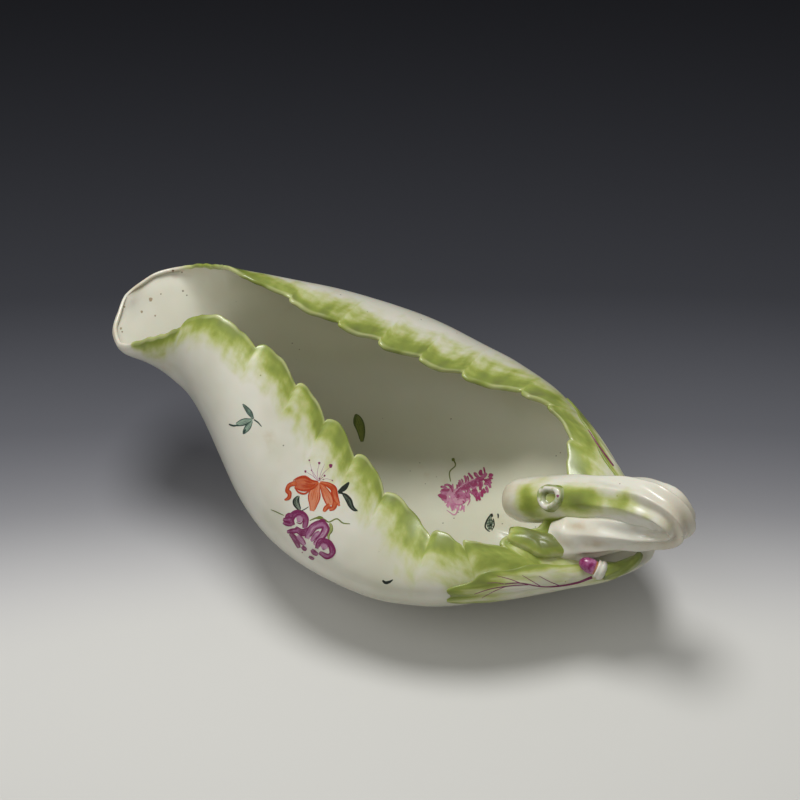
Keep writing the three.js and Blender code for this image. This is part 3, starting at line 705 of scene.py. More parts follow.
def seat_on_bowl(points, bowl):
    """Keeps the points behind the rear rim from sinking through the wall of the stern."""
    wall = BVHTree.FromObject(bowl, bpy.context.evaluated_depsgraph_get())
    rear_rim = STATIONS[-1][0] - MIDDLE_X
    for point in points:
        if point.x < rear_rim:
            continue
        hit = wall.ray_cast(Vector((point.x, point.y, ABOVE_ALL)) * MM, Vector((0, 0, -1)))[0]
        if hit is not None:
            point.z = max(point.z, hit.z / MM - LUTING_DEPTH)


def build_stalk(bowl):
    """Handle stalk: smooth root over the bowl, twisted flutes round the bend."""
    positions = np.arange((len(STALK) - 1) * STALK_STEPS + 1) / STALK_STEPS
    points, greens, flows, stain_and_shade = [], [], [], []
    for position in positions:
        centre, outward, sideways, row = stalk_frame(float(position))
        tables = (LIMB_RISE, WEB, LUTING_SWELL, FLUTE_PAINTED_SHADE, SKIN_STAIN_AND_SHADE)
        rise, web, swell, flute_painted_shade, skin_stain_and_shade = (np.interp(position, *table) for table in tables)
        centre.z += rise
        for angle in angles_round(STALK_SEGMENTS):
            rising = outward.z * math.cos(angle) + sideways.z * math.sin(angle)
            flattened = WEB_SMOOTHING * min(web / FULL_WEB, 1) * max(rising, 0)
            skin, valley = stalk_skin(position, angle, row, flattened)
            grow = skin + swell
            point = (centre + outward * ((row[3] + grow) * math.cos(angle))
                     + sideways * ((row[4] + grow) * math.sin(angle)))
            facing_up = max((point - centre).normalized().z, 0)
            point.z += web * facing_up**WEB_NARROWING
            points.append(point)
            greens.append(stalk_green(position, math.degrees(angle)))
            flows.append((angle * STALK_FLOW[0], position * STALK_FLOW[1], STALK_SHIFT))
            # Painted shade in the flute valleys and on the bend, with the warm stain of the root.
            stain_and_shade.append(flute_painted_shade * valley**2 + skin_stain_and_shade)
    seat_on_bowl(points, bowl)
    faces = sheet_faces(len(positions), STALK_SEGMENTS, closed=True)
    faces.append(tuple(range(STALK_SEGMENTS)))
    faces.append(tuple(range(len(points) - STALK_SEGMENTS, len(points))))
    return closed_piece("stalk", points, faces, "handle_stalk",
                        {"green": greens, "stain": stain_and_shade, "flow": flows})


# Waves round a turned piece: number and turn of the first, share and number of the second.
FIRST_WOBBLE = (2, 1)
SECOND_WOBBLE = (0.6, 3)


def lathe(name, node, profile, seat, direction, segments, wobble):
    """A turned, slightly uneven piece whose axis points along a direction from its seat."""
    turn = Vector((0, 0, 1)).rotation_difference(direction)
    number, start = FIRST_WOBBLE
    share, second_number = SECOND_WOBBLE
    points = []
    for radius, height in profile:
        for angle in angles_round(segments):
            uneven = (1 + wobble * math.sin(number * angle + start)
                      + wobble * share * math.sin(second_number * angle))
            points.append(seat + turn @ Vector((
                radius * uneven * math.cos(angle), radius * uneven * math.sin(angle), height)))
    faces = sheet_faces(len(profile), segments, closed=True)
    radii, heights = np.repeat(profile, segments, axis=0).T
    return closed_piece(name, points, faces, node, {"height": heights, "radius": radii})


def build_stump():
    """Pruned twig stump: a raised ring round a hollow."""
    centre, outward, _, row = stalk_frame(STUMP_STATION)
    direction = outward * math.cos(STUMP_TURN) + Vector((0, -math.sin(STUMP_TURN), 0))
    skin = row[4]
    top = skin + STUMP_RISE
    profile = [(0, skin - STUMP_SKIRT[0][1])]
    profile.extend((STUMP_RADIUS + wider, skin - deep) for wider, deep in STUMP_SKIRT)
    for k in range(-1, STUMP_RING_STEPS):
        angle = math.pi * k / STUMP_RING_STEPS
        profile.append((STUMP_RADIUS - STUMP_RING + STUMP_RING * math.cos(angle),
                        top - STUMP_RING + STUMP_RING * math.sin(angle)))
    profile.extend((radius, top - deep) for radius, deep in STUMP_HOLLOW)
    return lathe("stump", "twig_stump", profile, centre, direction,
                 STUMP_SEGMENTS, STUMP_WOBBLE)


def build_leaf(name, node, leaf, side, top_lift, green_at):
    """A leaf that lies on the outer surface; top_lift and green_at shape and tint its top."""
    rows = [(ring / leaf["rings"], None) for ring in range(leaf["rings"] + 1)]
    rows.extend((LEAF_SKIRT, lift) for lift in LEAF_SKIRT_LIFTS)
    values = []
    for reach, skirt in rows:
        for angle in angles_round(leaf["segments"]):
            lobed = reach * (1 + leaf["lobe_depth"] * math.cos(leaf["lobes"] * angle))
            station = leaf["station"] + leaf["station_reach"] * lobed * math.cos(angle)
            share = leaf["share"] + leaf["share_reach"] * lobed * math.sin(angle)
            lift = top_lift(reach, angle) if skirt is None else leaf["edge"] * skirt
            values.append((station, share, lift, green_at(min(reach, 1), angle)))
    stations, shares, lifts, greens = np.array(values).T
    lifts = lifts[:, None] + LEAF_SEAT
    points = surface(stations, shares, side) + surface_normal(stations, shares, side) * lifts
    flow = (stations * LEAF_FLOW[0], shares * LEAF_FLOW[1], np.full(len(stations), LEAF_SHIFT))
    faces = sheet_faces(len(rows), leaf["segments"], closed=True)
    fields = {"green": greens, "flow": np.stack(flow, -1)}
    return closed_piece(name, points, faces, node, fields)


def leaf_dome(leaf, reach):
    return leaf["edge"] + (leaf["thickness"] - leaf["edge"]) * (1 - reach**3)


# Crease of the rim leaf: a point of it and the direction across it, on the leaf's unit disc, its
# depth, and its fading across (as a reach) and along it (as a squared reach).
LEAF_CREASE = (-0.42, 0.25)
LEAF_CREASE_ACROSS = (0.8, 0.6)
LEAF_CREASE_DEPTH = 0.45
LEAF_CREASE_REACH = 0.14
LEAF_CREASE_SPREAD = 0.12
# Hollow of the rim leaf: place on the disc, depth and squared reach.
LEAF_HOLLOW = (-0.05, -0.1)
LEAF_HOLLOW_DEPTH = 0.35
LEAF_HOLLOW_SPREAD = 0.05
# Curl of its edge: height, number of waves and turn of the first.
LEAF_CURL = (0.25, 3, 0.6)
# Green of the rim leaf: its level, what the edge loses, and what the middle and the crease gain;
# shift and squared reach of that middle, and reach of the crease.
RIM_LEAF_GREENS = (0.75, 0.3, 1.4, 0.35)
GREEN_MIDDLE_SHIFT = 0.05
GREEN_MIDDLE_SPREAD = 0.3
GREEN_CREASE_REACH = 0.2
# Groove along the midrib of a stern leaf, and its side veins by height, number and slant.
MIDRIB_DEPTH = 0.22
MIDRIB_REACH = 0.05
SIDE_VEINS = (0.12, 9, 14)
# Green of a stern leaf: its level, and what the edge, the front and the side at the rim gain.
STERN_LEAF_GREENS = (0.2, 0.5, 0.25, 0.2)


def leaf_place(reach, angle):
    """Place on the leaf's unit disc, and distances from its crease across and along it."""
    east, down = reach * math.cos(angle), reach * math.sin(angle)
    x, y = east - LEAF_CREASE[0], down - LEAF_CREASE[1]
    across_x, across_y = LEAF_CREASE_ACROSS
    return east, down, x * across_x + y * across_y, x * across_y - y * across_x


def rim_leaf_lift(reach, angle):
    east, down, across, along = leaf_place(reach, angle)
    crease = math.exp(-(across / LEAF_CREASE_REACH) ** 2 - along**2 / LEAF_CREASE_SPREAD)
    x, y = east - LEAF_HOLLOW[0], down - LEAF_HOLLOW[1]
    hollow = math.exp(-(x**2 + y**2) / LEAF_HOLLOW_SPREAD)
    height, waves, turn = LEAF_CURL
    curl = height * reach * math.sin(waves * angle + turn)
    return leaf_dome(RIM_LEAF, reach) - LEAF_CREASE_DEPTH * crease - LEAF_HOLLOW_DEPTH * hollow + curl


def stern_leaf_lift(reach, angle):
    midrib = MIDRIB_DEPTH * math.exp(-((reach * math.sin(angle)) / MIDRIB_REACH) ** 2)
    height, number, slant = SIDE_VEINS
    veins = height * max(math.sin(number * angle + slant * reach), 0) * math.sin(math.pi * reach)
    return leaf_dome(STERN_LEAF, reach) - midrib + veins


def rim_leaf_green(reach, angle):
    east, down, across, _ = leaf_place(reach, angle)
    crease = math.exp(-(across / GREEN_CREASE_REACH) ** 2)
    middle = math.exp(-(east**2 + (down - GREEN_MIDDLE_SHIFT) ** 2) / GREEN_MIDDLE_SPREAD)
    level, edge_loss, middle_gain, crease_gain = RIM_LEAF_GREENS
    return level - edge_loss * reach**4 + middle_gain * middle + crease_gain * crease * (1 - reach)


def stern_leaf_green(reach, angle):
    rim_side = max(-math.sin(angle), 0)
    front = max(-math.cos(angle), 0)
    level, edge_gain, front_gain, rim_gain = STERN_LEAF_GREENS
    return level + edge_gain * reach**3 + front_gain * front * reach + rim_gain * rim_side * reach


def bud_centres():
    stations, shares, stand_off, _ = BUD_STALK.T
    return (surface(stations, shares, NEAR)
            + surface_normal(stations, shares, NEAR) * stand_off[:, None])


def build_bud_stalk():
    """Short stalk of the bud, swept along the near side of the stern."""
    rows = np.hstack([bud_centres(), BUD_STALK[:, 3:]])
    height, number, turn = BUD_STALK_KNOBS
    points = []
    for k in range(BUD_STALK_STEPS + 1):
        position = k / BUD_STALK_STEPS * (len(rows) - 1)
        row, change = along_rows(rows, position, BUD_TABLE_STEP)
        along = Vector(change[:3]).normalized()
        up = Vector((0, 0, 1))
        first = (up - along * up.dot(along)).normalized()
        second = along.cross(first)
        rounding = math.sin(math.pi * min(k / BUD_STALK_ROUNDING, 1) / 2)
        for angle in angles_round(BUD_SEGMENTS):
            radius = row[3] * rounding * (1 + height * math.cos(number * angle + turn * k))
            points.append(Vector(row[:3]) + first * radius * math.cos(angle)
                          + second * radius * math.sin(angle))
    faces = sheet_faces(BUD_STALK_STEPS + 1, BUD_SEGMENTS, closed=True)
    faces.append(tuple(range(len(points) - BUD_SEGMENTS, len(points))))
    return closed_piece("bud_stem", points, faces, "bud_stalk",
                        {"green": [BUD_STALK_GREEN] * len(points), "flow": points})


def build_bud():
    """The white collar and the closed bud in it."""
    end = Vector(bud_centres()[-1])
    radius = BUD_STALK[-1, 3]
    height = CALYX_SEAT + CALYX_LENGTH
    collar = [(radius * out, up) for out, up in CALYX_BASE]
    collar.extend((CALYX_RADIUS * out, height * up) for out, up in CALYX_OUTLINE)
    calyx = lathe("collar", "bud_calyx", collar, end - BUD_DIRECTION * CALYX_SEAT,
                  BUD_DIRECTION, BUD_SEGMENTS, CALYX_WOBBLE)
    outline = [(BUD_RADIUS * out, BUD_LENGTH * up) for out, up in BUD_OUTLINE]
    bud = lathe("bud", "flower_bud", outline,
                end + BUD_DIRECTION * (CALYX_LENGTH - CALYX_SEAT), BUD_DIRECTION,
                BUD_SEGMENTS, BUD_WOBBLE)
    return calyx, bud


# Thickness of the enamel: the first stroke, each stroke laid over it, and the longest step between
# two rows of one stroke before it breaks off at an edge of the glaze.
LOWEST_LIFT = 0.03
LIFT_STEP = 0.0015
LONGEST_STEP = 1.5
# Section of a stroke: places across it in half widths, cover at each, and how much its bare edge
# sinks; step between its rows, fewest rows and least width.
ACROSS = (-1, -0.7, -0.3, 0, 0.3, 0.7, 1)
COVER = (0, 0.75, 1, 1, 1, 0.75, 0)
EDGE_SINK = 0.4
MIDDLE = 3
ROW_STEP = 0.28
FEWEST_ROWS = 4
LEAST_WIDTH = 0.08
# Both ends of a stroke of one width taper to this share of it.
END_TAPER = 0.5
# A dot is a short stroke: half length, bow and width of its ends in parts of its size.
DOT_REACH = 0.4
DOT_BOW = 0.1
DOT_END = 0.8


def stroke_rows(line, widths):
    return np.array([(*point, width) for point, width in zip(line, widths)], float)


def ribbon(line, widths):
    """Smooth rows along a stroke: place, direction, half width and whether it covers there."""
    if isinstance(widths, (int, float)):
        widths = [widths * END_TAPER, *[widths] * (len(line) - 2), widths * END_TAPER]
    rows = stroke_rows(line, widths)
    length = np.linalg.norm(np.diff(rows[:, :2], axis=0), axis=1).sum()
    count = max(int(length / ROW_STEP), FEWEST_ROWS)
    for k in range(count + 1):
        here, change = along_rows(rows, k / count * (len(rows) - 1))
        shown = 0 if k in (0, count) else 1
        yield (*here[:2], *unit(change[:2]), max(here[2], LEAST_WIDTH) / 2, shown)


class Enamel:
    """Brush strokes laid on the glaze, given on a plane that faces the photograph's viewpoint."""

    def __init__(self, pieces):
        points, faces = [], []
        for piece in pieces:
            start = len(points)
            points.extend(vertex.co.copy() for vertex in piece.data.vertices)
            faces.extend(tuple(start + v for v in face.vertices) for face in piece.data.polygons)
        self.tree = BVHTree.FromPolygons(points, faces)
        self.eye = (VIEW_POINT + VIEW_BACK * VIEW_DISTANCE) * MM

    def at(self, x, y, lift):
        """Point of the glaze behind a place of the plane, lifted off it."""
        target = (VIEW_POINT + VIEW_RIGHT * x + VIEW_UP * y) * MM
        place, normal, _, _ = self.tree.ray_cast(self.eye, (target - self.eye).normalized())
        if place is None:
            raise ValueError(f"a stroke leaves the glaze at {x:.1f}, {y:.1f}")
        return (place / MM) + normal * lift

    def motif(self, name, origin, strokes, material):
        """One mesh of strokes; each is a list of (x, y) points, their widths and a tone."""
        points, faces, opacities, tones = [], [], [], []
        for order, (line, widths, tone) in enumerate(strokes):
            lift = LOWEST_LIFT + LIFT_STEP * order
            strips = [[]]
            for x, y, dx, dy, half, shown in ribbon(line, widths):
                row = []
                for step, cover in zip(ACROSS, COVER):
                    sunk = lift - LOWEST_LIFT * EDGE_SINK * (1 - cover)
                    point = self.at(origin[0] + x - dy * half * step,
                                    origin[1] + y + dx * half * step, sunk)
                    row.append((point, cover * shown))
                last = strips[-1][-1:]
                if last and (row[MIDDLE][0] - last[0][MIDDLE][0]).length > LONGEST_STEP:
                    strips.append([])
                strips[-1].append(row)
            for strip in strips:
                if len(strip) < 2:
                    continue
                faces.extend(sheet_faces(len(strip), len(ACROSS), len(points)))
                for row in strip:
                    points.extend(point for point, _ in row)
                    opacities.extend(opacity for _, opacity in row)
                    tones.extend([tone] * len(row))
        piece = mesh_object(name, points, faces)
        set_field(piece, "opacity", opacities)
        set_field(piece, "tone", tones)
        piece.data.materials.append(material)


def dot(x, y, size):
    line = [(x - size * DOT_REACH, y), (x, y + size * DOT_BOW), (x + size * DOT_REACH, y)]
    return (line, [size * DOT_END, size, size * DOT_END])


def along_petal(rows, offset, first, last, count):
    """A line inside a petal, at a share of its half width, over a part of its length."""
    result = []
    for k in range(count):
        here, change = along_rows(rows, (first + (last - first) * k / (count - 1)) * (len(rows) - 1))
        direction = unit(change[:2])
        shift = here[2] / 2 * offset
        result.append((here[0] - direction[1] * shift, here[1] + direction[0] * shift))
    return result


# Darker edges of a petal: place in half widths, widths along them, and ranges of their starts, ends
# and widths.
EDGE_OFFSET = 0.82
EDGE_TAPER = np.array([0.5, 0.8, 1.2, 1.1, 1, 0.6])
EDGE_STARTS = (0, 0.06)
EDGE_ENDS = (0.92, 1)
EDGE_WIDTHS = (0.8, 1.25)
# Fine lines in it: outermost place in half widths, width in edge widths, widths along them, and
# ranges of their shifts, starts, lengths and tones between the wash and the edge.
HATCH_OFFSET = 0.6
HATCH_WIDTH = 0.6
HATCH_TAPER = np.array([0.5, 1, 1, 0.8, 0.4])
HATCH_SHIFTS = (-0.08, 0.08)
HATCH_STARTS = (0, 0.3)
HATCH_LENGTHS = (0.35, 0.65)
HATCH_TONES = (0.35, 0.8)
# Feathers: ranges of their roots, turns in degrees, lengths, bends and widths, and their taper.
FEATHER_ROOTS = (0.2, 0.8)
FEATHER_TURNS = (-22, 22)
FEATHER_LENGTHS = (0.6, 1.15)
FEATHER_BENDS = (-0.18, 0.18)
FEATHER_WIDTHS = (0.6, 1.3)
FEATHER_TAPER = (0.5, 1, 0.7)


def petal(line, widths, fill, edge, hatches, edge_width, seed):
    """Strokes of one petal: a thin wash, darker edges and fine lines along it."""
    rows = stroke_rows(line, widths)
    strokes = [(line, widths, fill)]
    random = np.random.default_rng(seed)
    for offset in (-EDGE_OFFSET, EDGE_OFFSET):
        first, last = random.uniform(*EDGE_STARTS), random.uniform(*EDGE_ENDS)
        edge_line = along_petal(rows, offset, first, last, len(EDGE_TAPER))
        size = edge_width * EDGE_TAPER * random.uniform(*EDGE_WIDTHS)
        strokes.append((edge_line, size.tolist(), edge))
    for k in range(hatches):
        offset = -HATCH_OFFSET + 2 * HATCH_OFFSET * (k + 0.5) / hatches + random.uniform(*HATCH_SHIFTS)
        first = random.uniform(*HATCH_STARTS)
        last = min(first + random.uniform(*HATCH_LENGTHS), 1)
        hatch = along_petal(rows, offset, first, last, len(HATCH_TAPER))
        tone = fill + (edge - fill) * random.uniform(*HATCH_TONES)
        strokes.append((hatch, (edge_width * HATCH_WIDTH * HATCH_TAPER).tolist(), tone))
    return strokes


def feathers(line, count, length, heading, width, palest, darkest, seed):
    """Short uneven strokes that leave a line in one heading, in degrees."""
    random = np.random.default_rng(seed)
    rows = np.array(line, float)
    strokes = []
    for k in range(count):
        root, _ = along_rows(rows, (k + random.uniform(*FEATHER_ROOTS)) / count * (len(rows) - 1))
        turn = math.radians(heading + random.uniform(*FEATHER_TURNS))
        ahead = np.array([math.cos(turn), math.sin(turn)])
        across = np.array([-ahead[1], ahead[0]])
        tip = root + ahead * length * random.uniform(*FEATHER_LENGTHS)
        bend = (root + tip) / 2 + across * length * random.uniform(*FEATHER_BENDS)
        wide = width * random.uniform(*FEATHER_WIDTHS)
        tone = random.uniform(palest, darkest)
        strokes.append(([root, bend, tip], [wide * part for part in FEATHER_TAPER], tone))
    return strokes


LILY = (-17.9, -30.1)
LILY_PETALS = [
    *petal([(0.2, 0), (-1, -2.5), (-1.4, -4.9), (-1.6, -6.8), (-2, -9.2)],
           [0.8, 3.6, 4.4, 3, 1.5], 0.12, 0.8, 5, 0.4, 1),
    *petal([(0.5, -0.2), (2.2, -3.3), (3.3, -5.7), (3.6, -7.4)],
           [0.8, 2.8, 3.2, 2], 0.1, 0.8, 4, 0.4, 2),
    *petal([(0.3, 0), (2.9, -0.8), (4.7, -2.1), (5.1, -4.1), (5.7, -5.9), (6.6, -7.6)],
           [0.7, 1.5, 1.9, 1.9, 1.6, 0.7], 0.45, 0.95, 3, 0.5, 3),
    *petal([(5.4, -6.2), (4.7, -8), (3.2, -8.7)], [1.5, 1.4, 0.8], 0.4, 0.9, 2, 0.4, 4),
    *petal([(3.6, -7), (2.3, -8.2), (1.6, -9.4)], [1.4, 1.3, 0.7], 0.4, 0.95, 2, 0.4, 5),
    *petal([(0, 0), (-2.5, -0.8), (-4.9, -0.6), (-7.6, -0.5)],
           [0.8, 3.6, 5, 3], 0.5, 0.95, 6, 0.6, 6),
    *petal([(-6.8, -0.3), (-9, -0.9), (-9.8, -2.5), (-9, -3.7), (-9.4, -5.1), (-10.7, -5.7)],
           [2, 1.3, 1.1, 1.2, 1, 0.5], 0.5, 0.95, 2, 0.4, 7),
    ([(-7.4, -1.8), (-6.2, -3.2), (-4.2, -3.6), (-2.4, -2.2)], [0.4, 0.7, 0.7, 0.3], 1),
    ([(-8, 0.4), (-6.4, 1.4), (-4.2, 1.8), (-2.2, 0.6), (0, 0)], [0.3, 0.5, 0.6, 0.6, 0.4], 0.9),
]
LILY_STAMENS = [
    ([(0, 0.2), (-1.6, 2.2), (-2.8, 6.4)], 0.16, 0.35),
    ([(0, 0.2), (-2, 2), (-4, 3.2)], 0.16, 0.35),
    ([(0, 0.2), (-0.4, 2.8), (0.2, 5.6)], 0.18, 0.4),
    ([(0, 0.2), (0.8, 3), (2, 5.8)], 0.16, 0.35),
    ([(0, 0.2), (1.6, 2.8), (3.8, 4.8)], 0.18, 0.4),
    ([(0, 0.2), (1, 1.2), (1.9, 1.9)], 0.18, 0.5),
    ([(0, 0.2), (2.2, 1), (4.2, 0.6)], 0.16, 0.35),
    ([(0, 0.2), (-1, 2), (-2.1, 3.6)], 0.18, 0.4),
    (*dot(-2.9, 6.7, 0.7), 0.7), (*dot(-4.1, 3.2, 0.9), 0.85), (*dot(0.2, 5.8, 1), 0.8),
    (*dot(3.8, 4.9, 1.5), 0.9), (*dot(1.9, 1.9, 0.8), 0.9), (*dot(4.3, 0.4, 0.6), 0.6),
    (*dot(-2.2, 3.6, 0.6), 0.6), (*dot(0.3, 1, 0.7), 0.8),
]
LILY_LEAVES = [
    *petal([(6, -3.2), (8, -1.9), (9.6, 0)], [0.6, 1.6, 0.3], 0.9, 1, 1, 0.4, 8),
    *petal([(7.4, -3.4), (9.2, -5.3), (10.5, -8), (12.3, -9.2)], [0.6, 1.7, 1.1, 0.2],
           0.55, 1, 2, 0.5, 9),
    ([(6, -3.4), (7.2, -3.4), (8, -4)], [0.6, 0.8, 0.6], 1),
    *petal([(-6.1, -4.2), (-7, -6.3), (-5.7, -8.9)], [0.5, 2.1, 0.8], 0.2, 0.95, 2, 0.5, 10),
    ([(-5.7, -9.1), (-4.5, -8.6), (-2.9, -7.6)], 0.35, 0.8),
]
ROSE = (-20.7, -46.5)
ROSE_PETALS = [
    *petal([(-5.2, 2.7), (-5.9, 4.6), (-4.8, 6.3), (-3.1, 6.8), (-1.6, 5.8), (-1.1, 3.8), (-1.8, 1.8)],
           [1.6, 2.2, 1.9, 1.5, 1.6, 1.9, 1.5], 0.61, 1, 3, 0.55, 11),
    *petal([(-4.2, 4.7), (-3.1, 4.9), (-2.2, 4.3)], [1.6, 2.5, 1.6], 0.05, 0.5, 2, 0.35, 12),
    ([(-4.2, 3.8), (-2.8, 3.4), (-2, 4.5)], 0.5, 0.75),
    *petal([(-5.2, 5.9), (-6.6, 5.9), (-7.4, 5)], [1.6, 1.4, 0.6], 0.57, 0.95, 2, 0.45, 13),
    *petal([(-5.8, 4.6), (-7.2, 4.6), (-8.4, 4.8)], [1.4, 1.3, 0.6], 0.49, 0.9, 2, 0.45, 14),
    *petal([(-5.4, 3.2), (-7, 3.3), (-8.4, 3.8)], [1.2, 1.2, 0.6], 0.49, 0.9, 2, 0.45, 15),
    *petal([(-4.6, 2.3), (-2.6, 0.7), (-0.9, 1), (0, 2.2)], [1.2, 2.2, 2, 1], 0.69, 1, 2, 0.55, 16),
    *petal([(-7.2, 0.8), (-5.2, 1.1), (-3.4, 1.3)], [0.8, 1.4, 1.2], 0.49, 0.95, 2, 0.55, 17),
    *petal([(-6.2, 0.4), (-4.8, -1), (-3.8, -2.9), (-3.2, -4.3)], [0.9, 1.5, 1.3, 0.8],
           0.57, 1, 2, 0.55, 18),
    *petal([(-3.8, -0.2), (-2.6, -1.8), (-1.4, -3.4)], [1.4, 1.9, 1], 0.06, 0.65, 2, 0.4, 19),
    *petal([(-2.4, -3.6), (-1.6, -4.4), (-0.8, -4.8)], [0.9, 1.2, 0.6], 0.65, 1, 2, 0.45, 20),
    *petal([(-0.9, -1.4), (0.2, 1.2), (2.2, 3), (4.3, 3.1), (5, 1.8), (4.4, -0.2), (2.6, -1.6),
            (1.5, -3.4)], [1.6, 2.4, 2.6, 2.4, 2.3, 2.2, 2, 1.3], 0.06, 0.85, 5, 0.6, 21),
    *petal([(0.4, -2.2), (2, -0.2), (3.4, 0.9)], [0.8, 1.6, 0.8], 0.09, 0.6, 2, 0.4, 22),
    *petal([(2.2, -4.5), (2.9, -2.5), (4.6, -1.7), (6.4, -3), (7.2, -5.2), (6.5, -6.8), (4.6, -6.5),
            (3, -5.4)], [1.2, 1.6, 1.5, 1.5, 1.8, 1.6, 1.5, 1.2], 0.53, 1, 4, 0.55, 23),
    *petal([(3.6, -4.2), (4.6, -3.7), (5.4, -4.5)], [1.6, 2.4, 1.4], 0.04, 0.5, 2, 0.35, 24),
    *petal([(0.6, -4.6), (1.5, -5.6), (2.8, -6.4)], [0.9, 1.4, 0.9], 0.49, 0.95, 2, 0.45, 25),
    *petal([(-0.3, -6.8), (0.7, -7.3), (1.5, -7.8)], [0.5, 0.9, 0.4], 0.57, 0.9, 2, 0.35, 26),
    ([(3, 4.3), (4.1, 4.6), (5.1, 4)], 0.8, 1),
    (*dot(-2.2, -5.6, 0.5), 0.7),
]
ROSE_STEMS = [
    ([(-12.2, 7.8), (-10.7, 7.2), (-9.2, 6.5), (-7.9, 5.9)], 0.36, 1),
    ([(-0.1, 4.3), (2.4, 5.2), (4.6, 4.7), (6.1, 3.9), (8.5, 4.9), (10.4, 3.6), (12.8, 3.3)],
     [0.3, 0.7, 0.6, 0.5, 0.5, 0.5, 0.3], 0.75),
    *petal([(6.3, 3.7), (6.8, 1.8), (5.9, -0.2), (6.1, -1.9)], [0.6, 1.2, 0.7, 0.3],
           0.2, 0.7, 1, 0.3, 27),
    *petal([(2, 5), (3.2, 5.3), (4.4, 4.9)], [0.5, 0.9, 0.5], 0.5, 0.9, 1, 0.3, 28),
]
SPRIG_LEAVES = [
    *petal([(0, 0), (-1.4, 2.3), (-3.5, 4.9)], [0.4, 1.7, 0.4], 0.55, 1, 2, 0.3, 29),
    *petal([(-0.2, 0), (-3, -0.8), (-5.6, -1.7)], [0.5, 2.3, 1], 0.05, 0.8, 3, 0.35, 30),
    *petal([(-0.4, -0.4), (-1.8, -2.5), (-3.3, -4.5)], [0.5, 1.9, 0.8], 0.15, 0.85, 2, 0.35, 31),
    ([(0, 0), (1.4, -1), (2.6, -2.4)], [0.5, 0.5, 0.25], 1),
    ([(-4.6, -1.7), (-6.2, -2), (-7.8, -1.5)], [0.3, 0.7, 0.5], 1),
    ([(-2.4, -3), (-2.9, -3.9), (-3.3, -4.7)], [0.4, 0.8, 0.4], 1),
]
PEONY = (27, -32.7)
PEONY_PETALS = [
    ([(-4.4, -3.6), (-1.2, -3), (2.4, -1.8)], [2.6, 4, 2.2], 0),
    ([(-2.4, -0.6), (1.8, 1.6), (6.2, 3)], [1.8, 3.2, 2.2], 0.1),
    ([(-6.4, 0.2), (-5.2, -1.6), (-4.8, -4.2)], [1.6, 2.6, 1.4], 0.05),
    ([(-4.4, 0.6), (-3.4, -0.8), (-2.2, -2.2)], [1.6, 2.4, 2], 0.25),
    *feathers([(-3.4, -1), (0, 1.6), (4.2, 3.8), (7.6, 5)], 15, 2.6, 110, 1, 0.45, 1, 40),
    *feathers([(-3, -1.4), (0.8, 0.8), (4.8, 2.8), (8.2, 4)], 16, 2.8, -66, 1, 0.4, 1, 41),
    *feathers([(-2.6, -1.2), (1.6, 1.4), (6, 3.6)], 14, 3, 32, 1.3, 0.5, 1, 42),
    *feathers([(-4.8, -3.4), (-4.6, -1.2), (-3.4, 0.8)], 11, 3.4, 168, 1, 0.35, 1, 43),
    *feathers([(-4.6, -3.2), (-1.8, -4.4), (1.2, -4.6)], 10, 2.2, -104, 0.8, 0.1, 0.5, 44),
    *feathers([(3.6, -1.4), (6, 0), (8.2, 2)], 11, 2.4, -72, 1, 0.45, 1, 45),
    *feathers([(6.4, 1.8), (8, 3.2), (8.2, 5)], 8, 1.9, 6, 1, 0.6, 1, 46),
    *feathers([(0.4, -0.8), (2.6, 0), (4.8, 1)], 8, 2.4, -84, 0.9, 0.3, 0.8, 47),
    ([(-4.9, -6.2), (-2.5, -7.7), (-1.5, -6.2), (-2.9, -3.8)], 0.5, 0.3),
    ([(-1.8, -1.6), (-0.4, -0.8), (1.2, -1.4), (2.4, -3), (1.6, -5)], 0.6, 0.5),
    ([(-1.6, -3.2), (-0.4, -2.2), (1, -2.8), (0.8, -4.2)], 0.55, 0.55),
    ([(-3.4, -2.4), (-2.6, -4), (-1, -4.6), (0.6, -4.2)], 0.5, 0.45),
    ([(0, -3.2), (0.6, -3.8), (0.2, -4.4)], 0.5, 0.8),
]
PEONY_STEM = [
    ([(-2.9, 9.9), (-2.1, 7.8), (-3.9, 5.7), (-3.6, 2.6)], [0.6, 0.5, 0.5, 0.4], 0.8),
    ([(-3, 10.2), (-2.8, 9.6), (-2.6, 9)], [0.7, 1.2, 0.7], 1),
]
INSECT_LINES = [
    ([(-0.3, 2.6), (-0.7, 0.4), (-0.5, -2)], [0.9, 2.3, 1.2], 0.1),
    ([(-0.1, 3.1), (-1.4, 1.2), (-2, -0.8), (-1.2, -2), (-0.4, -2.4)], [0.5, 0.6, 0.6, 0.5, 0.3], 0.8),
    ([(-0.2, 3.3), (0.1, 2.7), (0.2, 2)], [0.7, 0.9, 0.4], 1),
    ([(1.9, 3.3), (2.1, 2.6), (2, 1.6)], [0.5, 0.6, 0.3], 0.9),
    ([(0.5, 1.8), (0.8, 0.4), (0.7, -0.8), (0, -2.2)], [0.4, 0.5, 0.5, 0.3], 0.7),
    ([(-1.2, 0.8), (-0.4, 1.2), (0.6, 1)], 0.4, 0.7),
    ([(-1.5, 0), (-0.5, 0.3), (0.8, 0.1)], 0.4, 0.6),
    ([(-1.6, -0.8), (-0.6, -0.6), (0.7, -0.8)], 0.45, 0.75),
    ([(-1.2, -1.5), (-0.4, -1.4), (0.4, -1.5)], 0.4, 0.6),
    ([(-0.7, 1.8), (-0.6, 0), (-0.7, -1.8)], 0.35, 0.5),
    ([(0.1, 1.6), (0.2, 0), (0, -1.8)], 0.35, 0.5),
    (*dot(-0.2, -0.4, 0.9), 0.8), (*dot(0.4, 0.6, 0.7), 0.7),
]
SMALL_LEAF_STROKES = [([(0, 0), (1, -0.8), (2.2, -0.6), (3.5, 0.2)], [0.6, 1.1, 1, 0.2], 0.95)]
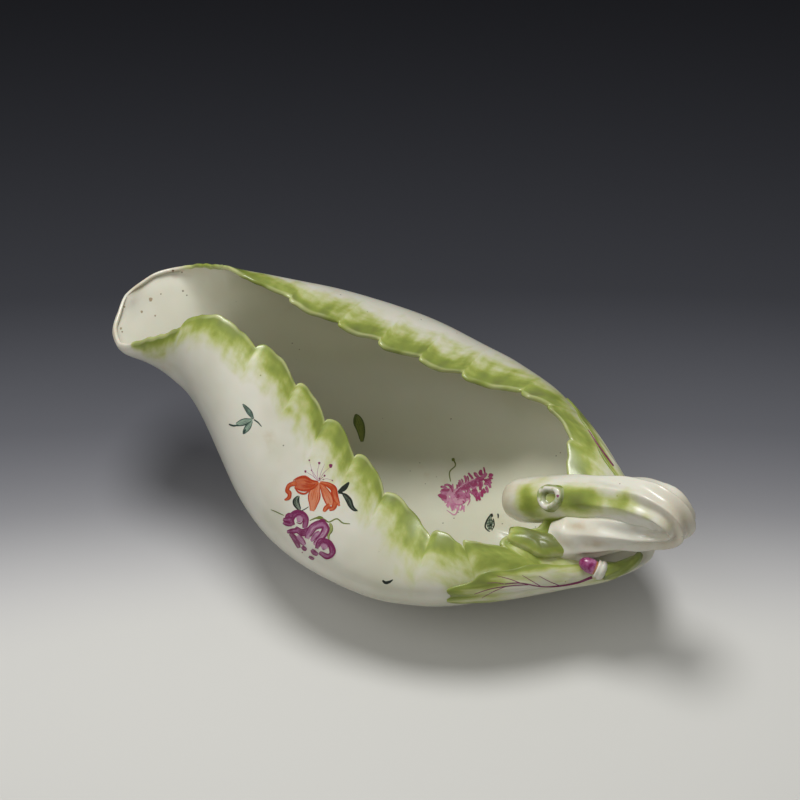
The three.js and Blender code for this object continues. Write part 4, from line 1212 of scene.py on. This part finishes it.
INNER_LEAF_STROKES = [
    *petal([(-1, 3.9), (-0.4, 1.6), (0.6, -1.6), (0.8, -5.1)], [0.6, 3.2, 2.6, 0.9],
           0.4, 0.9, 3, 0.6, 60),
    ([(-1, 3.6), (-1.4, 2), (-1.4, 0)], [0.6, 1, 0.5], 1),
]
VEIN_STROKES = [
    ([(0, 0), (-4.4, -1.7), (-10, -2.8), (-16, -3), (-22.5, -1.9), (-27.5, -2.2)],
     [1.1, 0.8, 0.6, 0.45, 0.4, 0.3], 0.9),
    ([(-10, -2.8), (-13.4, -1.4), (-16.8, 0.4)], [0.35, 0.26, 0.16], 0.7),
    ([(-16, -3), (-19, -1.2), (-22, 0.6)], [0.35, 0.26, 0.16], 0.7),
    ([(-22.5, -1.9), (-26, -0.6), (-30, 0.4)], [0.35, 0.26, 0.16], 0.7),
    ([(-20, -2.4), (-26, -2.8), (-32, -3.8), (-37, -5.4)], [0.35, 0.35, 0.3, 0.2], 0.75),
    ([(-27, -2.9), (-31, -4.6), (-34.6, -6.6)], [0.3, 0.24, 0.16], 0.65),
    ([(-27.5, -2.2), (-30, -1.8), (-33, -1.9)], [0.28, 0.22, 0.14], 0.6),
]
FAR_VEIN_STROKES = [
    ([(66.4, -13.6), (69, -17.8), (71.6, -21.4), (74.4, -25.2)], [0.3, 0.5, 0.6, 0.6], 0.75),
]
STUMP_DOT_STROKES = [(*dot(0, 0, 1.1), 0.6)]
# Brown spots on the inside of the lip.
LIP_SPOT_STROKES = [
    (*dot(-9.7, -8.2, 0.9), 0.35), (*dot(-9.3, -9.2, 0.6), 0.6), (*dot(6.6, 9.8, 1), 0.7),
    (*dot(9.4, 9.4, 0.6), 0.4), (*dot(-0.4, 0.8, 1.5), 0.2), (*dot(-3.2, -3, 1), 0.2),
    (*dot(-8.6, -1.4, 0.7), 0.25), (*dot(1, -4.2, 0.7), 0.35), (*dot(2.8, 2.6, 0.6), 0.3),
]
# Motifs in the order in which they are painted: name, enamel, origin and strokes.
MOTIFS = [
    ("lily_petals", "orange_enamel", LILY, LILY_PETALS),
    ("lily_stamens", "puce_enamel", LILY, LILY_STAMENS),
    ("lily_leaves", "black_green_enamel", LILY, LILY_LEAVES),
    ("rose_petals", "puce_enamel", ROSE, ROSE_PETALS),
    ("rose_stems", "stem_enamel", ROSE, ROSE_STEMS),
    ("sprig", "teal_enamel", (-38.2, -10.5), SPRIG_LEAVES),
    ("peony_petals", "rose_enamel", PEONY, PEONY_PETALS),
    ("peony_stem", "stem_enamel", PEONY, PEONY_STEM),
    ("insect", "black_green_enamel", (36.2, -43.2), INSECT_LINES),
    ("small_leaf", "black_green_enamel", (2.0, -60.75), SMALL_LEAF_STROKES),
    ("inner_leaf", "olive_enamel", (-5.2, -12.6), INNER_LEAF_STROKES),
    ("leaf_veins", "puce_enamel", (67.7, -59.8), VEIN_STROKES),
    ("far_leaf_veins", "puce_enamel", (0, 0), FAR_VEIN_STROKES),
    ("stump_dot", "puce_enamel", (56.9, -34.6), STUMP_DOT_STROKES),
    ("lip_spots", "brown_spots", (-70, 26), LIP_SPOT_STROKES),
]

# Noises of the glaze: rate per metre, detail and roughness.
TONE_NOISE = (28.0, 3.0)
CLOUD_NOISE = (60.0, 4.0, 0.6)
SLOW_BUMPS = (90.0, 2.0)
FINE_BUMPS = (900.0, 3.0)
PATCH_NOISE = (300.0, 2.0)
STREAK_NOISE = (500.0, 3.0)
GRAIN_NOISE = (700.0, 3.0)
WEAR_NOISE = (1500.0, 2.0)
# Specks: rate per metre, size and share of the glaze that stays free of them.
SMALL_SPECKS = (260.0, 0.085, 0.6)
LARGE_SPECKS = (120.0, 0.06, 0.66)
# Rate of the patches that hold specks in parts of the specks', and the solid core of each speck.
SPECK_PATCHES = 0.4
SPECK_CORE = 0.5
# Smear, blots and fine grain of the wash: stretch of its flow, detail, roughness and amount.
WASH_NOISES = [
    ((0.24, 0.11, 1.0), 1.0, 0.5, 0.6),
    ((0.07, 0.15, 1.0), 2.0, 0.5, 0.85),
    ((0.5, 0.35, 1.0), 3.0, 0.6, 0.3),
]
# Height of the fine bumps and of the wash on the slow ones, and how much all of them show.
FINE_HEIGHT = 0.07
WASH_HEIGHT = 0.04
BUMPS = {"Strength": 0.35, "Distance": 0.0006}
GLAZE_ROUGHNESS = 0.27
LEAF_ROUGHNESS = 0.38
GLAZE = {"IOR": 1.5, "Coat Weight": 0.3, "Coat Roughness": 0.2,
         "Subsurface Weight": 0.12, "Subsurface Scale": 0.0015}
ENAMEL_GLOSS = {"Roughness": 0.3, "IOR": 1.5, "Coat Weight": 0.4, "Coat Roughness": 0.1}


def new_material(name):
    material = bpy.data.materials.new(name)
    material.use_nodes = True
    material.node_tree.nodes.clear()
    return material, material.node_tree


def add(tree, kind, values=None, **settings):
    """A shader node; values maps its sockets to constants or to other sockets."""
    node = tree.nodes.new(kind)
    for key, value in settings.items():
        setattr(node, key, value)
    for key, value in (values or {}).items():
        if isinstance(value, bpy.types.NodeSocket):
            tree.links.new(value, node.inputs[key])
        else:
            node.inputs[key].default_value = value
    return node


def math_node(tree, operation, *values):
    return add(tree, "ShaderNodeMath", dict(enumerate(values)), operation=operation).outputs[0]


def times(tree, value, factor, offset=0.0):
    return math_node(tree, "MULTIPLY_ADD", value, factor, offset)


def opposite(tree, value):
    return math_node(tree, "SUBTRACT", 1.0, value)


def varied(tree, level, pattern, amount):
    """A level moved up and down by a noise."""
    return times(tree, math_node(tree, "SUBTRACT", pattern, 0.5), amount, level)


def mix(tree, factor, first, second):
    node = add(tree, "ShaderNodeMix", {0: factor, 6: first, 7: second}, data_type="RGBA")
    return node.outputs[2]


def layered(tree, colour, layers):
    """Paints laid over a colour: where each lies, how strong it is there, and its colour."""
    for place, strength, paint in layers:
        colour = mix(tree, times(tree, place, strength), colour, paint)
    return colour


def ramp(tree, value, low, high):
    """0 below low, 1 above high, smooth between."""
    node = add(tree, "ShaderNodeMapRange", {0: value, 1: low, 2: high, 3: 0.0, 4: 1.0},
               interpolation_type="SMOOTHSTEP")
    return node.outputs[0]


def noise(tree, vector, scale, detail=3.0, roughness=0.5):
    node = add(tree, "ShaderNodeTexNoise",
               {"Vector": vector, "Scale": scale, "Detail": detail, "Roughness": roughness})
    return node.outputs["Fac"]


def scaled(tree, vector, scale):
    return add(tree, "ShaderNodeMapping", {"Vector": vector, "Scale": scale}).outputs[0]


def attribute(tree, name, output="Fac"):
    return add(tree, "ShaderNodeAttribute", attribute_name=name).outputs[output]


def object_place(tree):
    return add(tree, "ShaderNodeTexCoord").outputs["Object"]


def specks(tree, place, scale, size, free):
    """Small dark specks scattered in the glaze."""
    cells = add(tree, "ShaderNodeTexVoronoi", {"Vector": place, "Scale": scale})
    chosen = math_node(tree, "GREATER_THAN", noise(tree, place, scale * SPECK_PATCHES, 0.0), free)
    outside = ramp(tree, cells.outputs["Distance"], size * SPECK_CORE, size)
    return times(tree, opposite(tree, outside), chosen)


def white_body(tree, place):
    """White porcelain with slow changes of tone, faint stain and specks, painted shade on the inner
    face, and painted shade in the stalk's flutes and on its bend.
    """
    clouds = noise(tree, place, *CLOUD_NOISE)
    tone = ramp(tree, noise(tree, place, *TONE_NOISE), 0.42, 0.7)
    # Lip stain, and painted shade in the stalk's flutes and on its bend.
    stained_and_shaded = times(tree, attribute(tree, "stain"), ramp(tree, clouds, 0.36, 0.62))
    return layered(tree, mix(tree, tone, WHITE, WHITE_SHADE), [
        # Painted shade: the inner face takes a darker, olive white.
        (attribute(tree, "inside"), 0.85, INNER_PAINTED_SHADE),
        (ramp(tree, clouds, 0.62, 0.8), 0.35, WARM_STAIN_AND_SHADE),
        (stained_and_shaded, 0.45, WARM_STAIN_AND_SHADE),
        (specks(tree, place, *SMALL_SPECKS), 0.7, SPECK),
        (specks(tree, place, *LARGE_SPECKS), 0.75, SPECK),
    ])


def green_wash(tree, base):
    """Yellow-green wash brushed over the base where the green field is high."""
    flow = attribute(tree, "flow", "Vector")
    level = attribute(tree, "green")
    patterns = []
    for stretch, detail, roughness, amount in WASH_NOISES:
        patterns.append(noise(tree, scaled(tree, flow, stretch), 1.0, detail, roughness))
        level = varied(tree, level, patterns[-1], amount)
    smear, blot, _ = patterns
    cover = ramp(tree, level, 0.06, 0.76)
    pool = ramp(tree, times(tree, smear, 0.5, level), 1.0, 1.75)
    # Paler rim edge: wear, and a painted highlight along the edge.
    worn_and_highlit = times(tree, ramp(tree, attribute(tree, "edge"), 0.2, 1.0), ramp(tree, blot, 0.36, 0.6))
    pigment = mix(tree, ramp(tree, level, 0.42, 0.95), LIME, LEAF_GREEN)
    pigment = layered(tree, pigment, [(pool, 0.9, OLIVE), (worn_and_highlit, 0.6, PALE_LIME)])
    thin = times(tree, cover, times(tree, cover, 0.22, 0.72))
    return mix(tree, thin, base, pigment), cover


def shaded(tree, values):
    shader = add(tree, "ShaderNodeBsdfPrincipled", values)
    add(tree, "ShaderNodeOutputMaterial", {"Surface": shader.outputs[0]})


def glazed(tree, place, colour, wash=None, roughness=GLAZE_ROUGHNESS):
    """Soft uneven glaze of an old piece, with the ridged build-up of a wash on it."""
    height = times(tree, noise(tree, place, *FINE_BUMPS), FINE_HEIGHT, noise(tree, place, *SLOW_BUMPS))
    if wash is not None:
        height = times(tree, wash, WASH_HEIGHT, height)
    normal = add(tree, "ShaderNodeBump", {"Height": height, **BUMPS}).outputs[0]
    shaded(tree, {"Base Color": colour, "Roughness": roughness, "Normal": normal, **GLAZE})


def plain_material():
    material, tree = new_material("plain_porcelain")
    place = object_place(tree)
    glazed(tree, place, white_body(tree, place))
    return material


def washed_material(name, roughness):
    material, tree = new_material(name)
    place = object_place(tree)
    colour, cover = green_wash(tree, white_body(tree, place))
    glazed(tree, place, colour, cover, roughness)
    return material


def stump_material():
    """White raised ring round a hollow that is washed green."""
    material, tree = new_material("stump_glaze")
    place = object_place(tree)
    radius = attribute(tree, "radius")
    hollow = opposite(tree, ramp(tree, radius, 1.8, 2.9))
    skirt = ramp(tree, radius, 3.7, 4.3)
    patch = ramp(tree, noise(tree, place, *PATCH_NOISE), 0.42, 0.6)
    ring = math_node(tree, "MAXIMUM", times(tree, patch, 0.85), skirt)
    green = times(tree, math_node(tree, "MAXIMUM", hollow, ring), times(tree, patch, 0.3, 0.65))
    pigment = mix(tree, times(tree, hollow, 0.8), LEAF_GREEN, OLIVE)
    glazed(tree, place, mix(tree, green, WHITE, pigment))
    return material


def bud_material():
    """Puce bud, deeper at its tip and yellow where it meets the collar."""
    material, tree = new_material("bud_glaze")
    place = object_place(tree)
    height = attribute(tree, "height")
    streaks = ramp(tree, noise(tree, place, *STREAK_NOISE), 0.35, 0.7)
    deep = ramp(tree, height, BUD_LENGTH * 0.25, BUD_LENGTH * 0.8)
    base = opposite(tree, ramp(tree, height, 0.3, BUD_LENGTH * 0.3))
    colour = mix(tree, streaks, PUCE, PUCE_PALE)
    glazed(tree, place, layered(tree, colour, [(deep, 0.7, PUCE), (base, 1.0, YELLOW)]))
    return material


def enamel_material(name, full, pale):
    """Overglaze enamel that thins out at the edges of each stroke."""
    material, tree = new_material(name)
    place = object_place(tree)
    tone = attribute(tree, "tone")
    level = varied(tree, tone, noise(tree, place, *GRAIN_NOISE), 0.7)
    colour = mix(tree, ramp(tree, level, 0.1, 0.9), pale, full)
    opacity = varied(tree, attribute(tree, "opacity"), noise(tree, place, *WEAR_NOISE), 0.5)
    cover = times(tree, ramp(tree, opacity, 0.1, 0.75), times(tree, tone, 0.42, 0.54))
    shaded(tree, {"Base Color": colour, "Alpha": cover, **ENAMEL_GLOSS})
    return material


# Floor colours of a painted pool of light, by the distance from a line in front of the sauceboat, as
# shares of FLOOR_REACH.
FLOOR_REACH = 0.36
FLOOR_LIGHT_FALLOFF_STOPS = [
    (0.14, linear(210, 209, 204)),
    (0.20, linear(192, 191, 191)),
    (0.27, linear(130, 130, 134)),
    (0.36, linear(94, 95, 101)),
    (0.52, linear(50, 51, 56)),
    (0.95, linear(15, 15, 17)),
]
FLOOR_LINE = (0.04, -0.08, 0)
FLOOR_SIDE_SHARE = 0.3
FLOOR_SIZE = 8.0
FLOOR_GLOSS = {"Roughness": 0.9, "Specular IOR Level": 0.0}
BACKDROP = linear(16, 16, 18)
SKY = {"Color": (0.86, 0.86, 0.84, 1), "Strength": 0.28}
# Lights: name, direction from their aim, distance, size, power, and whether the glaze mirrors them.
LIGHT_AIM = Vector((0, 0, 0.035))
LIGHTS = [
    ("key", (-0.25, 0.22, 0.94), 1.3, 0.55, 11.9, True),
    ("fill", (-0.3, -0.6, 0.75), 1.5, 1.4, 5.2, False),
]


def build_floor():
    """Floor with a painted pool of light: pale in front of the sauceboat, painted darker behind it."""
    bpy.ops.mesh.primitive_plane_add(size=FLOOR_SIZE)
    floor = bpy.context.object
    floor.name = "floor"
    material, tree = new_material("floor_painted_light_falloff")
    moved = add(tree, "ShaderNodeVectorMath", {0: object_place(tree), 1: FLOOR_LINE},
                operation="SUBTRACT").outputs[0]
    heading = math.atan2(-VIEW_UP.x, VIEW_UP.y)
    turned = add(tree, "ShaderNodeMapping",
                 {"Vector": moved, "Rotation": (0, 0, -heading)}).outputs[0]
    narrowed = scaled(tree, turned, (FLOOR_SIDE_SHARE, 1, 1))
    away = add(tree, "ShaderNodeVectorMath", {0: narrowed}, operation="LENGTH").outputs["Value"]
    stops = add(tree, "ShaderNodeValToRGB", {"Fac": math_node(tree, "DIVIDE", away, FLOOR_REACH)})
    stops.color_ramp.interpolation = "B_SPLINE"
    elements = stops.color_ramp.elements
    while len(elements) < len(FLOOR_LIGHT_FALLOFF_STOPS):
        elements.new(FLOOR_LIGHT_FALLOFF_STOPS[-1][0])
    for element, (position, colour) in zip(elements, FLOOR_LIGHT_FALLOFF_STOPS):
        element.position = position
        element.color = colour
    shaded(tree, {"Base Color": stops.outputs["Color"], **FLOOR_GLOSS})
    floor.data.materials.append(material)


def add_light(name, direction, distance, size, power, mirrored):
    data = bpy.data.lights.new(name, "AREA")
    data.shape = "DISK"
    data.size = size
    data.energy = power
    light = bpy.data.objects.new(name, data)
    bpy.context.scene.collection.objects.link(light)
    direction = Vector(direction).normalized()
    light.location = LIGHT_AIM + direction * distance
    light.rotation_mode = "QUATERNION"
    light.rotation_quaternion = direction.to_track_quat("Z", "Y")
    light.visible_glossy = mirrored


def build_world():
    """Even light from all round, before a darker backdrop."""
    world = bpy.data.worlds.new("studio")
    bpy.context.scene.world = world
    world.use_nodes = True
    tree = world.node_tree
    tree.nodes.clear()
    seen = add(tree, "ShaderNodeBackground", {"Color": BACKDROP, "Strength": 1.0})
    light = add(tree, "ShaderNodeBackground", SKY)
    rays = add(tree, "ShaderNodeLightPath")
    both = add(tree, "ShaderNodeMixShader",
               {0: rays.outputs["Is Camera Ray"], 1: light.outputs[0], 2: seen.outputs[0]})
    add(tree, "ShaderNodeOutputWorld", {"Surface": both.outputs[0]})


def build_camera():
    data = bpy.data.cameras.new("camera")
    data.lens = LENS
    data.sensor_width = SENSOR_WIDTH
    data.shift_x = SHIFT_X
    data.shift_y = SHIFT_Y
    data.clip_start = CLIP_START
    data.clip_end = CLIP_END
    camera = bpy.data.objects.new("camera", data)
    bpy.context.scene.collection.objects.link(camera)
    turn = Matrix((VIEW_RIGHT, VIEW_UP, VIEW_BACK)).transposed().to_4x4()
    place = Matrix.Translation((VIEW_POINT + VIEW_BACK * VIEW_DISTANCE) * MM)
    camera.matrix_world = place @ turn
    bpy.context.scene.camera = camera


def build_sauceboat():
    """All pieces with their glazes; returns those that enamel can lie on."""
    bowl = build_bowl()
    foot = build_foot()
    stalk = build_stalk(bowl)
    stump = build_stump()
    leaves = [
        build_leaf("folded_leaf", "rim_leaf", RIM_LEAF, NEAR, rim_leaf_lift, rim_leaf_green),
        build_leaf("near_leaf", "stern_leaf_near", STERN_LEAF, NEAR, stern_leaf_lift, stern_leaf_green),
        build_leaf("far_leaf", "stern_leaf_far", STERN_LEAF, FAR, stern_leaf_lift, stern_leaf_green),
    ]
    stem = build_bud_stalk()
    collar, bud = build_bud()
    glazes = [
        (washed_material("washed_porcelain", GLAZE_ROUGHNESS), [bowl, stalk]),
        (washed_material("leaf_porcelain", LEAF_ROUGHNESS), [*leaves, stem]),
        (plain_material(), [foot, collar]),
        (stump_material(), [stump]),
        (bud_material(), [bud]),
    ]
    for material, pieces in glazes:
        for piece in pieces:
            piece.data.materials.append(material)
    return [bowl, stalk, stump, *leaves, stem, collar, bud]


def paint_ornament(pieces):
    enamel = Enamel(pieces)
    materials = {name: enamel_material(name, *colours) for name, colours in ENAMELS.items()}
    for name, paint, origin, strokes in MOTIFS:
        enamel.motif(name, origin, strokes, materials[paint])


paint_ornament(build_sauceboat())
build_floor()
build_world()
for light in LIGHTS:
    add_light(*light)
build_camera()
bpy.context.scene.view_settings.view_transform = "Standard"
